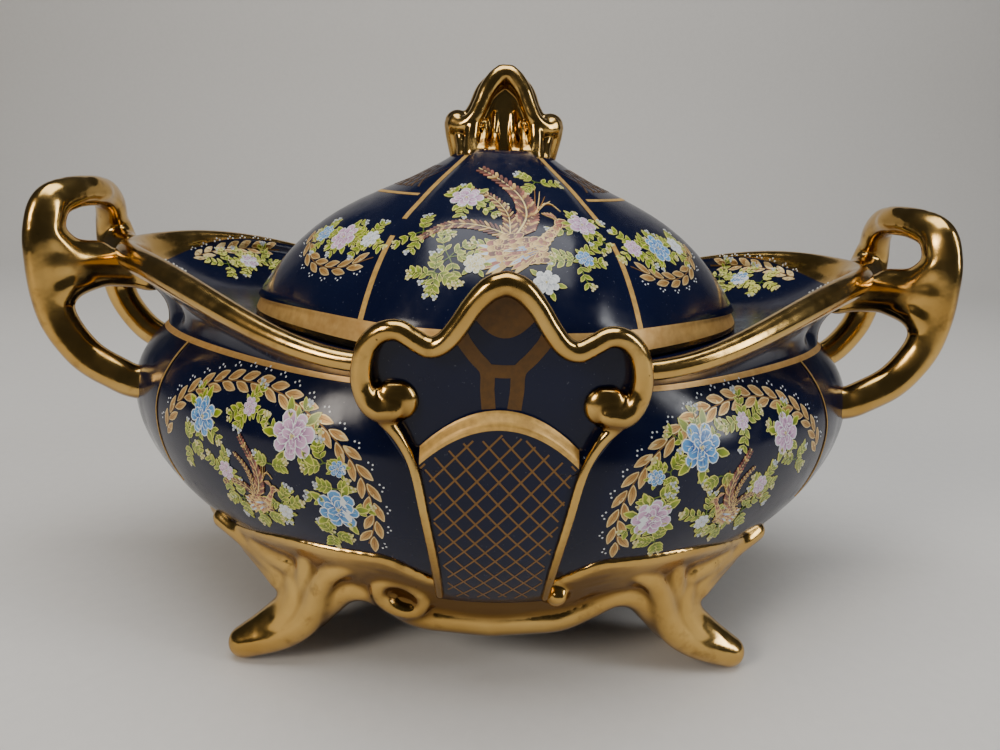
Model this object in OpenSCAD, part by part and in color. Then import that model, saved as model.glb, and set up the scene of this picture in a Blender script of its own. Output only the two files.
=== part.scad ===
// Lidded porcelain dish: a lobed, lozenge-shaped bowl with a flared wavy rim, a pair of double
// strap handles, a shield-shaped cartouche front and rear, a four-footed base and a domed lid.
// Millimetres, +Z up. The origin lies on the table under the middle of the dish, +X runs
// through the right handle and the front faces -Y.

/* [Bowl] */
// Half width of the belly, from the middle to an end
belly_x = 163; // [156:1:170]
// Half depth of the belly, from the middle to the front
belly_y = 110; // [106:1:116]
// Height of the widest part of the belly
belly_z = 92; // [86:1:98]
// Height of the bowl's underside
underside_z = 34; // [31:1:37]
// Half width of the bowl at its underside
underside_x = 127; // [120:1:134]
// Height of the gilt shoulder line
shoulder_z = 122; // [118:1:124]
// Half width of the bowl at the shoulder line
shoulder_x = 147; // [142:1:149]
// Thickness of the bowl's wall
bowl_wall = 7; // [5:0.5:9]
// How far the four broad lobes swell from the plain form
lobe_swell = 3; // [1:0.5:5]

/* [Rim] */
// Half width of the rim at its end corners
rim_x = 167; // [163:1:171]
// Half depth of the rim at the front
rim_y = 105; // [103:1:107]
// Height of the rim at its end corners
rim_end_z = 156; // [150:1:162]
// Height of the rim beside the cartouches
rim_dip_z = 132; // [130:1:135]
// Thickness of the rolled lip
lip_d = 7; // [6:0.5:8]
// How far the neck under the lip draws in at the ends
throat = 6; // [3:0.5:9]

/* [Lid] */
// Half width of the lid
lid_x = 108; // [103:1:112]
// Half depth of the lid
lid_y = 91; // [88:1:93]
// Height of the dome above its seat
lid_rise = 70; // [62:1:78]
// Thickness of the lid's wall
lid_wall = 5.5; // [4:0.5:7]
// Height of the ledge that the lid sits on
seat_z = 127; // [125:1:128]
// Width of the ledge that the lid sits on
ledge_w = 8; // [6:0.5:11]
// Depth of the locating flange under the lid
flange_h = 6; // [4:0.5:8]
// Side clearance around the lid
lid_gap = 1.5; // [0.8:0.1:2]
// Clearance between the lid and its ledge
seat_gap = 0.3; // [0.2:0.05:0.5]
// Width of the knob over its side curls
knob_w = 51; // [44:1:58]
// Height of the knob
knob_h = 35; // [30:1:40]

/* [Handles] */
// How far a handle stands out from the belly
handle_reach = 27; // [24:1:34]
// Thickness of a handle strap
strap_d = 14; // [11:0.5:16]
// Distance between the middles of the two straps of a handle
strap_gap = 56; // [48:1:64]
// Height of the handle's arch above the rim's end corners
arch_rise = 25; // [20:1:30]

/* [Cartouche] */
// Width over the two volutes
volute_w = 92; // [86:1:98]
// Width of the shield at its foot
shield_w = 38; // [32:1:44]
// Height of the crest above the rim beside it
crest_rise = 30; // [24:1:36]
// How far the cartouche stands out from the belly
relief = 5; // [3.5:0.5:7]
// Thickness of the gilt moulding round the cartouche
moulding_d = 7; // [6:0.5:8]

/* [Base] */
// Half width of the base skirt
skirt_x = 114; // [104:1:118]
// Half depth of the base skirt
skirt_y = 82; // [78:1:86]
// Thickness of the base skirt
skirt_d = 13; // [10:0.5:15]
// Half width over the tips of the feet
foot_x = 104; // [96:1:110]
// Half depth over the tips of the feet
foot_y = 78; // [72:1:84]
// Thickness of a foot at its tip
foot_d = 16; // [13:0.5:18]

/* [Hidden] */

sides = 72;
bead_fn = 10;
navy = "midnightblue";
gilt = "darkgoldenrod";

// The plan of every level is a lozenge with bowed sides, blunted at its ends and front.
lozenge_power = 1.4;
blunt_power = 20;
tip_share = 1.05;
flank_share = 1.13;
function plan_r(a, x, y) =
    let (c = abs(cos(a)), s = abs(sin(a)))
    let (side = pow(c / (x * tip_share), lozenge_power) + pow(s / (y * flank_share), lozenge_power))
    1 / pow(pow(side, blunt_power / lozenge_power) + pow(c / x, blunt_power) + pow(s / y, blunt_power),
        1 / blunt_power);
function angle_at(i) = 360 * i / sides;
function polar(a, r, z) = [r * cos(a), r * sin(a), z];
function ramp(v, lo, hi) =
    let (u = min(1, max(0, (v - lo) / (hi - lo))))
    u * u * (3 - 2 * u);
function mix(a, b, u) = a + (b - a) * u;

// The belly is two elliptic arcs that meet at its widest level.
drop = (belly_z - underside_z) / sqrt(1 - pow(underside_x / belly_x, 2));
rise = (shoulder_z - belly_z) / sqrt(1 - pow(shoulder_x / belly_x, 2));
function body_share(z) = sqrt(1 - pow((z - belly_z) / (z < belly_z ? drop : rise), 2));

// Lobes swell between the creases beside the handles and beside the cartouches.
end_crease = 14;
front_crease = 64;
function fold(a) = let (q = a % 180) min(q, 180 - q);
function swell(a) =
    let (q = fold(a))
    q < end_crease ? cos(90 * q / end_crease) * 0.5
        : q < front_crease ? sin(180 * (q - end_crease) / (front_crease - end_crease)) : 0;
function body_r(a, z, inset = 0) =
    let (level = sin(180 * (z - underside_z) / (shoulder_z - underside_z)))
    plan_r(a, belly_x * body_share(z) - inset, belly_y * body_share(z) - inset)
        + lobe_swell * swell(a) * pow(max(0, level), 0.7);

// The rim climbs from the dips beside the cartouches to the end corners.
lip_r = lip_d / 2;
lip_under = -50;
lip_inner = 200;
dip_x = volute_w / 2;
function rim_r(a) = plan_r(a, rim_x, rim_y);
rim_climb = rim_end_z - rim_dip_z;
function rim_z(a) = rim_dip_z + rim_climb * ramp(abs(rim_r(a) * cos(a)), dip_x, rim_x * 0.95);
function lip_point(a, turn) =
    polar(a, rim_r(a) - lip_r + lip_r * cos(turn), rim_z(a) - lip_r + lip_r * sin(turn));
function radius(p) = norm([p[0], p[1]]);
function neck_point(a, u) =
    let (low = polar(a, body_r(a, shoulder_z), shoulder_z), high = lip_point(a, lip_under))
    let (draw = throat * (rim_z(a) - rim_dip_z) / rim_climb * sin(180 * u))
    polar(a, mix(radius(low), radius(high), u) - draw, mix(low[2], high[2], u));

// The lid's plan also gives the ledge that it sits on and the mouth of the bowl.
function lid_r(a, grow = 0) = plan_r(a, lid_x + grow, lid_y + grow);
mouth_shrink = lid_gap - ledge_w;
flare_sag = 4;
flange_room = 1;
roof_drop = 4;
function flare_point(a, u) =
    let (high = lip_point(a, lip_inner), low = polar(a, lid_r(a, lid_gap), seat_z))
    let (sag = flare_sag * (rim_z(a) - rim_dip_z) / rim_climb * sin(180 * u))
    polar(a, mix(radius(high), radius(low), u), mix(high[2], low[2], u) - sag);

function level_ring(z, inset = 0) = [for (i = [0:sides - 1])
    let (a = angle_at(i)) polar(a, body_r(a, z, inset), z)];
outer_levels = 9;
outer_rings = [for (k = [0:outer_levels])
    level_ring(mix(underside_z, shoulder_z, 1 - pow(1 - k / outer_levels, 1.25)))];
neck_rings = [for (u = [0.3, 0.65, 0.9]) [for (i = [0:sides - 1]) neck_point(angle_at(i), u)]];
lip_out_turns = [lip_under, 0, 50, 100];
lip_in_turns = [150, lip_inner];
function lip_rings(turns) = [for (turn = turns) [for (i = [0:sides - 1]) lip_point(angle_at(i), turn)]];
flare_rings = [for (u = [0.35, 0.7, 1]) [for (i = [0:sides - 1]) flare_point(angle_at(i), u)]];
mouth_rings = [for (z = [seat_z, seat_z - flange_h - flange_room])
    [for (i = [0:sides - 1]) polar(angle_at(i), lid_r(angle_at(i), mouth_shrink), z)]];
roof_z = shoulder_z - bowl_wall - roof_drop;
floor_z = underside_z + bowl_wall;
well_rings = [for (u = [0, 0.25, 0.5, 0.75, 0.92, 1]) level_ring(mix(roof_z, floor_z, u), bowl_wall)];

// A skin over a stack of rings, closed at both ends by a fan.
function mean(ring) = [for (k = [0:2]) [for (p = ring) p[k]] * [for (p = ring) 1] / len(ring)];
module skin(rings) {
    n = len(rings[0]);
    m = len(rings);
    points = concat([for (r = rings) each r], [mean(rings[0]), mean(rings[m - 1])]);
    walls = [for (j = [0:m - 2], i = [0:n - 1])
        let (k = (i + 1) % n)
        each [[j * n + i, (j + 1) * n + i, (j + 1) * n + k], [j * n + i, (j + 1) * n + k, j * n + k]]];
    first_cap = [for (i = [0:n - 1]) [m * n, i, (i + 1) % n]];
    last_cap = [for (i = [0:n - 1]) [m * n + 1, (m - 1) * n + (i + 1) % n, (m - 1) * n + i]];
    polyhedron(points, concat(walls, first_cap, last_cap), convexity = 8);
}

// The bowl without its hollow and with its mouth stopped, which every luted piece is cut to fit.
core_top = 2 * rim_end_z;
core_rings = concat(outer_rings, neck_rings, lip_rings(lip_out_turns));
core_cap = [for (p = core_rings[len(core_rings) - 1]) [p[0], p[1], core_top]];
module bowl_core() skin(concat(core_rings, [core_cap]));

module bowl()
    color(navy)
        skin(concat(core_rings, lip_rings(lip_in_turns), flare_rings, mouth_rings, well_rings));

// A moulding of round section along a path of [x, y, z, radius] beads.
module moulding(path)
    for (k = [0:len(path) - 2])
        hull()
            for (b = [path[k], path[k + 1]])
                translate([b[0], b[1], b[2]])
                    sphere(r = b[3], $fn = bead_fn);

// Lid: the dome falls away from the knob, fuller over its shoulder and steeper at its edge.
lid_z = seat_z + seat_gap;
lid_edge_h = 6;
dome_z = lid_z + lid_edge_h;
dome_rise = lid_rise - lid_edge_h;
knob_seat_r = knob_w * 0.36;
knob_share = knob_seat_r / lid_x;
dome_ogee = 1.25;
function dome_height(u) =
    let (v = (u - knob_share) / (1 - knob_share))
    dome_rise * (1 - v + dome_ogee * (v * v - v * v * v));
dome_shares = [1, 0.96, 0.9, 0.82, 0.72, 0.61, 0.5, 0.39, 0.28, knob_share];
under_shares = [0.3, 0.48, 0.65, 0.8, 0.92];
crease_depth = 1.8;
crease_width = 6;
lid_crease = 57;
function lid_fold(a) = crease_depth
    * (exp(-pow((fold(a) - lid_crease) / crease_width, 2)) + exp(-pow(fold(a) / crease_width, 2)));
function dome_r(a, u, inset) =
    let (r = plan_r(a, (lid_x - inset) * u, (lid_y - inset) * u))
    mix(r, lid_x * u, ramp(-u, -0.6, -knob_share)) - lid_fold(a) * sin(180 * u);
function dome_ring(u, inset, sink) = [for (i = [0:sides - 1])
    let (a = angle_at(i)) polar(a, dome_r(a, u, inset), dome_z + dome_height(u) - sink)];
function lid_ring(grow, z) = [for (i = [0:sides - 1]) polar(angle_at(i), lid_r(angle_at(i), grow), z)];
flange_out = mouth_shrink - lid_gap;
flange_taper = 0.8;
dome_under = [for (u = under_shares) dome_ring(u, lid_wall, lid_wall)];
flange_rings = [lid_ring(flange_out - lid_wall, lid_z - flange_h),
    lid_ring(flange_out - flange_taper, lid_z - flange_h), lid_ring(flange_out, lid_z)];
dome_top = [for (u = dome_shares) dome_ring(u, 0, 0)];

module lid_core() skin(concat([lid_ring(0, lid_z)], dome_top));

module lid()
    color(navy)
        skin(concat(dome_under, flange_rings, [lid_ring(0, lid_z)], dome_top));

// Knob: a crest of two leaves that meet over a niche, front and rear, with a curl at each side.
// Beads of the crest and of the niche's edges, as shares of the knob's half width and height, and
// their thickness as a share of its width.
knob_z = dome_z + dome_rise;
knob_side = knob_w / 2;
crest_beads = [[0, 0, 0.87, 0.088], [0.28, 0, 0.72, 0.088], [0.45, 0, 0.51, 0.094],
    [0.75, 0, 0.33, 0.127], [0.62, 0, 0.06, 0.147]];
niche_beads = [[0.2, 0.12, 0.68, 0.075], [0.36, 0.3, 0.36, 0.085], [0.4, 0.45, 0.03, 0.105]];
module knob_bead(b, side, face)
    translate([side * knob_side * b[0], face * knob_side * b[1], knob_z + knob_h * b[2]])
        sphere(r = knob_w * b[3], $fn = bead_fn);
module lid_knob()
    color(gilt)
        difference() {
            union() {
                for (k = [0:len(crest_beads) - 2])
                    hull()
                        for (b = [crest_beads[k], crest_beads[k + 1]], side = [-1, 1])
                            knob_bead(b, side, 0);
                for (k = [0:len(niche_beads) - 2], side = [-1, 1])
                    hull()
                        for (b = [niche_beads[k], niche_beads[k + 1]], face = [-1, 1])
                            knob_bead(b, side, face);
            }
            lid_core();
        }

// Handle: two straps that part from one arch, each with an arm to the end of the rim.
strap_r = strap_d / 2;
strap_x = belly_x + handle_reach - strap_r;
strap_y = strap_gap / 2;
arch_r = strap_r * 0.86;
arch_z = rim_end_z + arch_rise - arch_r;
arm_z = rim_end_z - 11;
leg_z = belly_z + 5;
arm_r = strap_r * 1.3;
arm_end = rim_x - lip_d;
leg_end = belly_x - 20;
bend_z = mix(arm_z, leg_z, 0.5);
// Beads from the crown of the arch, down the strap and in along the leg to the belly.
module strap(side)
    moulding([[strap_x - 9, 0, arch_z, arch_r],
        [strap_x - 7.5, side * strap_y * 0.45, arch_z - 1.5, arch_r],
        [strap_x - 4, side * strap_y * 0.83, arch_z - 9, strap_r],
        [strap_x, side * strap_y, arm_z + 4, strap_r * 1.1],
        [strap_x + 0.5, side * strap_y, mix(arm_z, bend_z, 0.45), strap_r],
        [strap_x - 2, side * strap_y, bend_z, strap_r],
        [strap_x - 11, side * strap_y, mix(bend_z, leg_z, 0.55), strap_r],
        [strap_x - 23, side * strap_y, mix(bend_z, leg_z, 0.86), strap_r],
        [mix(strap_x, leg_end, 0.72), side * strap_y * 0.95, leg_z, strap_r],
        [leg_end, side * strap_y * 0.85, leg_z, strap_r]]);
module arm(side)
    moulding([[strap_x - 1, side * strap_y * 0.95, arm_z + 1, arm_r],
        [mix(strap_x, arm_end, 0.3), side * strap_y * 0.74, arm_z, arm_r],
        [mix(strap_x, arm_end, 0.65), side * strap_y * 0.42, arm_z, arm_r],
        [arm_end, side * strap_y * 0.2, arm_z, arm_r]]);
module handle()
    difference() {
        for (side = [-1, 1]) {
            strap(side);
            arm(side);
        }
        bowl_core();
    }
module right_handle()
    color(gilt)
        handle();
module left_handle()
    color(gilt)
        mirror([1, 0, 0])
            handle();

// Cartouche: a plate over the belly that stands up into a crest, framed by a round moulding
// that rolls into a volute at each side, with a swelling shield in its lower half.
volute_x = volute_w / 2;
foot_half = shield_w / 2;
plate_z = underside_z + 7;
crest_z = rim_dip_z + crest_rise;
hip_z = shoulder_z - 24;
hip_half = foot_half + 7.5;
moulding_r = moulding_d / 2;
plate_set = 3;
plan_bow = 5;
crest_lean = 2;
function face_y(z) = relief
    + (z < belly_z ? belly_y * body_share(z) : belly_y + crest_lean * ramp(z, belly_z, crest_z));
function face(x, z, out = 0) = [x, -(face_y(z) - plan_bow * pow(x / volute_x, 2) + out), z];
function plate_half(z) =
    z < hip_z ? mix(foot_half, hip_half, pow((z - plate_z) / (hip_z - plate_z), 1.4))
        : mix(hip_half, volute_x - moulding_r, ramp(z, hip_z, shoulder_z + 1));
dip_at = 0.48;
hump_rise = 3;
dip_z = rim_dip_z + 5;
function plate_top(u) =
    let (q = abs(u))
    q < dip_at ? mix(crest_z - moulding_r, dip_z, ramp(q, 0, dip_at))
        : dip_z + hump_rise * sin(180 * (q - dip_at) / (1 - dip_at)) - 6 * ramp(q, 0.8, 1);
plate_columns = 16;
plate_rows = 9;
function plate_grid(out) = [for (j = [0:plate_rows])
    [for (i = [0:plate_columns])
        let (u = 2 * i / plate_columns - 1, z = mix(plate_z, plate_top(u), j / plate_rows))
        face(u * plate_half(z), z, out)]];
shield_top = hip_z + 16;
function shield_grid(out) = [for (j = [0:plate_rows])
    [for (i = [0:plate_columns / 2])
        let (u = 4 * i / plate_columns - 1, top = shield_top - 14 * u * u)
        let (z = mix(plate_z + 1, top, j / plate_rows))
        face(u * (plate_half(min(z, hip_z)) - 1), z, out < 0 ? out : out * (1 - 0.7 * u * u))]];

// A slab between two grids of points.
module slab(front, back) {
    rows = len(front);
    columns = len(front[0]);
    count = rows * columns;
    function at(j, i) = j * columns + i;
    points = concat([for (r = front) each r], [for (r = back) each r]);
    fronts = [for (j = [0:rows - 2], i = [0:columns - 2])
        each [[at(j, i), at(j + 1, i), at(j + 1, i + 1)], [at(j, i), at(j + 1, i + 1), at(j, i + 1)]]];
    backs = [for (f = fronts) [for (k = [2:-1:0]) count + f[k]]];
    edge = concat([for (i = [0:columns - 1]) at(0, i)], [for (j = [1:rows - 1]) at(j, columns - 1)],
        [for (i = [columns - 2:-1:0]) at(rows - 1, i)], [for (j = [rows - 2:-1:1]) at(j, 0)]);
    sides_of = [for (k = [0:len(edge) - 1])
        let (a = edge[k], b = edge[(k + 1) % len(edge)])
        each [[a, b, count + b], [a, count + b, count + a]]];
    polyhedron(points, concat(fronts, backs, sides_of), convexity = 6);
}
function bead(x, z, r, out = 0) = concat(face(x, z, out), [r]);
module half_frame(side) {
    r = moulding_r;
    thin = r * 0.75;
    moulding([bead(0, crest_z - r, r),
        bead(side * volute_x * 0.16, crest_z - r - 3, r),
        bead(side * volute_x * 0.3, mix(crest_z - r, dip_z, 0.5), r),
        bead(side * volute_x * 0.39, dip_z + 3, r),
        bead(side * volute_x * 0.49, dip_z, r),
        bead(side * volute_x * 0.61, dip_z + 2, r),
        bead(side * volute_x * 0.74, dip_z + hump_rise, r),
        bead(side * volute_x * 0.88, dip_z, r),
        bead(side * (volute_x - r), dip_z - 7, r),
        bead(side * (volute_x - r + 0.5), shoulder_z + 2, r),
        bead(side * (volute_x - r - 2), shoulder_z - 5, r),
        bead(side * volute_x * 0.83, shoulder_z - 9, r * 1.2),
        bead(side * volute_x * 0.7, shoulder_z - 7, r * 1.6),
        bead(side * volute_x * 0.62, shoulder_z - 4, r * 1.2)]);
    moulding([bead(side * volute_x * 0.83, shoulder_z - 9, r),
        bead(side * mix(hip_half, volute_x, 0.3), mix(hip_z, shoulder_z, 0.38), thin),
        bead(side * hip_half, hip_z, thin),
        bead(side * mix(foot_half, hip_half, 0.45), mix(plate_z, hip_z, 0.58), thin),
        bead(side * (foot_half + 0.8), mix(plate_z, hip_z, 0.25), thin),
        bead(side * foot_half, plate_z + 2, thin)]);
}
plate_back = -11;
shield_out = 0.5;
module cartouche_body() {
    slab(plate_grid(-plate_set), plate_grid(plate_back));
    slab(shield_grid(shield_out), shield_grid(plate_back));
    for (side = [-1, 1])
        half_frame(side);
}
module cartouche()
    difference() {
        union()
            cartouche_body();
        bowl_core();
    }
module front_cartouche()
    color(gilt)
        cartouche();
module rear_cartouche()
    color(gilt)
        mirror([0, 1, 0])
            cartouche();

// Base: a wavy skirt that hugs the foot of the bowl, drawn in between the feet and the middle.
skirt_r = skirt_d / 2;
dent = 0.13;
dent_from = 20;
dent_to = 80;
apron_half = 27;
apron_drop = 7;
arch_low = underside_z - 9;
hem_r = skirt_r * 0.7;
hem_rise = 10;
skirt_steps = 40;
function skirt_radius(a) =
    let (q = fold(a))
    plan_r(a, skirt_x, skirt_y) * (q < dent_from || q > dent_to ? 1
        : 1 - dent * sin(180 * (q - dent_from) / (dent_to - dent_from)));
function from_middle(a) = abs(skirt_radius(a) * cos(a));
function skirt_low(a) = arch_low - apron_drop * exp(-pow(from_middle(a) / apron_half, 2));
function hem_z(a) = underside_z + hem_rise * ramp(from_middle(a), foot_half + 4, foot_half + 26);
module skirt_post(a) {
    translate(polar(a, skirt_radius(a), skirt_low(a) + skirt_r))
        sphere(r = skirt_r, $fn = bead_fn);
    translate(polar(a, max(skirt_radius(a), body_r(a, hem_z(a)) - hem_r * 0.4), hem_z(a)))
        sphere(r = hem_r, $fn = bead_fn);
}
module skirt_ring()
    for (k = [0:skirt_steps - 1])
        hull() {
            skirt_post(360 * k / skirt_steps);
            skirt_post(360 * (k + 1) / skirt_steps);
        }
module base_skirt()
    color(gilt)
        difference() {
            skirt_ring();
            bowl_core();
            for (face = [-1, 1])
                scale([1, face, 1])
                    cartouche_body();
        }

// Feet: splayed legs that spring from the skirt, each with a scrolled knee toward the end.
foot_r = foot_d / 2;
pad_sink = 1.5;
root_angle = 34;
root_x = skirt_radius(root_angle) * cos(root_angle);
root_y = skirt_radius(root_angle) * sin(root_angle);
tip_x = foot_x - foot_r;
tip_y = foot_y - foot_r * 0.6;
tip_z = foot_r - pad_sink;
root_z = underside_z - 5;
knee_x = underside_x - 7;
knee_y = root_y * 0.72;
knee_z = underside_z + 5;
knee_r = foot_r * 0.7;
function along(u, z, share) = [mix(root_x, tip_x, u), mix(root_y, tip_y, u), z, foot_r * share];
module leg()
    difference() {
        union() {
            moulding([along(0, root_z, 1.35), along(0.3, root_z - 5, 1.35),
                along(0.55, mix(root_z, tip_z, 0.6), 1.15), along(0.8, tip_z + 2, 1), along(1, tip_z, 1)]);
            moulding([along(0.1, root_z - 2, 1.2),
                [mix(root_x, knee_x, 0.5), mix(root_y, knee_y, 0.5), root_z, foot_r],
                [mix(root_x, knee_x, 0.85), knee_y, mix(root_z, knee_z, 0.6), knee_r],
                [knee_x, knee_y, knee_z, knee_r]]);
            moulding([along(0.2, root_z - 4, 1.1), [root_x * 0.78, root_y * 1.18, root_z, foot_r * 0.85]]);
        }
        skirt_ring();
        bowl_core();
        translate([0, 0, -foot_d])
            cylinder(r = 2 * foot_x, h = foot_d, $fn = 6);
    }
module foot(side, face)
    color(gilt)
        scale([side, face, 1])
            leg();
module front_left_foot() foot(-1, -1);
module front_right_foot() foot(1, -1);
module rear_left_foot() foot(-1, 1);
module rear_right_foot() foot(1, 1);

bowl();
front_cartouche();
rear_cartouche();
left_handle();
right_handle();
base_skirt();
front_left_foot();
front_right_foot();
rear_left_foot();
rear_right_foot();
lid();
lid_knob();
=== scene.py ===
# %% [markdown]
# # A lidded porcelain dish in cobalt and gold
# The dish is a lobed, footed bowl with a flared wavy rim, a strap handle at each end, a
# shield-shaped cartouche front and rear, and a domed lid that lifts off by a crest knob. The
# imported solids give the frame. Everything here is drawn in millimetres in that frame and scaled
# to metres once, when a piece is finished, so that the sizes read as they would on a workbench.

# %% Load the frame
import math
import random

import bmesh
import bpy
from mathutils import Matrix, Vector
from mathutils.bvhtree import BVHTree


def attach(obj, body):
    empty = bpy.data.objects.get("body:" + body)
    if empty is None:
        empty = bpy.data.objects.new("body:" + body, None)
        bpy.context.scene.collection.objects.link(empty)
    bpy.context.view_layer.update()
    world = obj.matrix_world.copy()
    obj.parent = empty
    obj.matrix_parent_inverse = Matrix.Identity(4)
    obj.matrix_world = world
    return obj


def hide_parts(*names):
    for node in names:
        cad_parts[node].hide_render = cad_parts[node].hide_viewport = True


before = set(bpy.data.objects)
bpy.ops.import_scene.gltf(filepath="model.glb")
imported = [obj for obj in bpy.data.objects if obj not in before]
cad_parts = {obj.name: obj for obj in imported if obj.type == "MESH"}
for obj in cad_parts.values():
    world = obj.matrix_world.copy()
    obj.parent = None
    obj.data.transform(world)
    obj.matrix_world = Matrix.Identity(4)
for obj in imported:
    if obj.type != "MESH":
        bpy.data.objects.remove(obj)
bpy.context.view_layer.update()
scene = bpy.context.scene
MM = 0.001
print("nodes:", ", ".join(sorted(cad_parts)))

# %% [markdown]
# ## The camera
# The photograph was taken from the front, a little above the rim, with a short lens. Its place was
# worked out from points of the dish, so the camera is written down as a position, three angles and
# a focal length in pixels of the 1000 pixel wide frame.

# %% Camera
EYE = Vector((-7.2, -326, 193))
FOCAL_PIXELS = 725
FRAME_PIXELS = 1000
PITCH = math.radians(16.4)
ROLL = math.radians(-2.25)
YAW = math.radians(1.7)

ahead = Vector((math.sin(YAW) * math.cos(PITCH), math.cos(YAW) * math.cos(PITCH), -math.sin(PITCH)))
level = Vector((math.cos(YAW), -math.sin(YAW), 0))
below = ahead.cross(level)
camera_right = math.cos(ROLL) * level + math.sin(ROLL) * below
camera_down = math.cos(ROLL) * below - math.sin(ROLL) * level
lens = bpy.data.cameras.new("photo_camera")
lens.sensor_width = 36
lens.lens = lens.sensor_width * FOCAL_PIXELS / FRAME_PIXELS
lens.clip_start = 0.01
camera = bpy.data.objects.new("photo_camera", lens)
scene.collection.objects.link(camera)
turn = Matrix((camera_right, -camera_down, -ahead)).transposed()
camera.matrix_world = Matrix.Translation(EYE * MM) @ turn.to_4x4()
scene.camera = camera
print(f"camera: {lens.lens:.1f} mm lens")

# %% [markdown]
# ## Helpers for shapes
# Most of the dish is either a thrown-looking surface or a rolled moulding. A surface is a grid
# whose vertices are set one by one on the form, which keeps its rows where a gilt edge has to run.
# A moulding is such a grid wrapped round a path. Joints in clay are filled with slip, so mouldings
# that meet are fused by a voxel remesh and softened.

# %% Grid
def drape(bm, across, along, place, paint=None):
    """A grid set on a form by place(u, v); paint(u, v) gives each face its finish."""
    made = bmesh.ops.create_grid(bm, x_segments=across, y_segments=along, size=1)["verts"]
    if paint:
        for face in {f for v in made for f in v.link_faces}:
            middle = face.calc_center_median()
            face.material_index = paint((middle.x + 1) / 2, (middle.y + 1) / 2)
    for v in made:
        v.co = place((v.co.x + 1) / 2, (v.co.y + 1) / 2)
    return made


def close(bm):
    """Merges the seams and poles and turns the faces outwards."""
    bmesh.ops.remove_doubles(bm, verts=bm.verts, dist=0.005)
    bmesh.ops.recalc_face_normals(bm, faces=bm.faces)


print("grids are ready")

# %% Moulding
CAP_TURNS = [math.radians(t) for t in (90, 70, 50, 30)]


def spline(beads, fine):
    """Points of a smooth curve through beads of (x, y, z, radius)."""
    knots = [Vector(b) for b in beads]
    points = []
    for k in range(len(knots) - 1):
        p0, p1, p2 = knots[max(k - 1, 0)], knots[k], knots[k + 1]
        p3 = knots[min(k + 2, len(knots) - 1)]
        for j in range(fine):
            t = j / fine
            bend = (2 * p0 - 5 * p1 + 4 * p2 - p3) * t * t + (3 * p1 - p0 - 3 * p2 + p3) * t ** 3
            points.append(p1 + ((p2 - p0) * t + bend) / 2)
    return points + [knots[-1]]


def round_bar(angle):
    return math.cos(angle), math.sin(angle)


def moulding(bm, beads, section=round_bar, across=(0, 1, 0), around=24, fine=6):
    """A bar of clay rolled along beads, round at both ends, with its section turned to across."""
    path = spline(beads, fine)
    centres = [p.to_3d() for p in path]
    side = Vector(across)
    rings = []
    for k, point in enumerate(path):
        run = (centres[min(k + 1, len(path) - 1)] - centres[max(k - 1, 0)]).normalized()
        side = (side - run * side.dot(run)).normalized()
        rings.append((centres[k], point[3], side, run.cross(side), run))

    def cap(centre, radius, side, rise, run, way):
        return [(centre + run * radius * (way * math.sin(t)), radius * math.cos(t), side, rise, run)
            for t in CAP_TURNS]

    rings = cap(*rings[0], -1) + rings + cap(*rings[-1], 1)[::-1]

    def place(u, v):
        centre, radius, side, rise, _ = rings[round(v * (len(rings) - 1))]
        x, y = section(2 * math.pi * u)
        return centre + side * (radius * x) + rise * (radius * y)

    drape(bm, around, len(rings) - 1, place)


print(f"mouldings have {len(CAP_TURNS)} rings in a round end")

# %% Fusing
# Painted shade in the gold: hollows, found by more rounds of smoothing, and faces that look down are
# darkened.
HOLLOW_ROUNDS = 40
UNDERSIDE_SHADE_MM = 0.75


def fuse(bm, voxel, rounds):
    """Fuses closed shapes that overlap to one skin and softens it, as wet slip does.

    An attribute on the fused skin tells, in millimetres, how much more softening would fill each spot,
    with a share for faces that look down. The gold shader darkens by it: painted shade in hollows and
    underneath.
    """
    close(bm)
    mesh = bpy.data.meshes.new("lump")
    bm.to_mesh(mesh)
    bm.free()
    lump = bpy.data.objects.new("lump", mesh)
    scene.collection.objects.link(lump)
    skin = lump.modifiers.new("skin", "REMESH")
    skin.mode = "VOXEL"
    skin.voxel_size = voxel
    soft = lump.modifiers.new("soft", "SMOOTH")
    soft.factor = 0.5
    soft.iterations = rounds
    fused, filled = bmesh.new(), bmesh.new()
    fused.from_object(lump, bpy.context.evaluated_depsgraph_get())
    soft.iterations = rounds + HOLLOW_ROUNDS
    filled.from_object(lump, bpy.context.evaluated_depsgraph_get())
    painted_shade = fused.verts.layers.float.new("painted_shade")
    for v, fuller in zip(fused.verts, filled.verts):
        v[painted_shade] = (fuller.co - v.co).dot(v.normal) + UNDERSIDE_SHADE_MM * max(0, -v.normal.z)
    filled.free()
    bpy.data.objects.remove(lump)
    bpy.data.meshes.remove(mesh)
    return fused


def add_painted_shade(bm, extra):
    """Darkens the gold of a fused shape by extra(place), as more painted shade."""
    painted_shade = bm.verts.layers.float["painted_shade"]
    for v in bm.verts:
        v[painted_shade] += extra(v.co)


print(f"hollows show after {HOLLOW_ROUNDS} more rounds")

# %% Finished pieces
def finish_piece(name, bm, finishes, body, nodes=(), smooth=True):
    """Makes a drawn shape a piece of the scene, in metres, riding on its body."""
    for face in bm.faces:
        face.smooth = smooth
    bmesh.ops.scale(bm, vec=(MM, MM, MM), verts=bm.verts)
    mesh = bpy.data.meshes.new(name)
    bm.to_mesh(mesh)
    bm.free()
    piece = bpy.data.objects.new(name, mesh)
    scene.collection.objects.link(piece)
    for finish in finishes:
        mesh.materials.append(finish)
    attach(piece, body)
    if nodes:
        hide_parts(*nodes)
    print(f"{name}: {len(mesh.polygons)} faces")
    return piece


print(f"pieces are scaled by {MM}")

# %% [markdown]
# ## Helpers for finishes
# Colours are written as the eye reads them, in sRGB hex, and turned to linear light here. One
# function adds a node, sets its values and makes its links. Pattern sizes are given in
# millimetres: Object coordinates are in metres, so a pattern of s mm has the scale 1000 / s.

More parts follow.
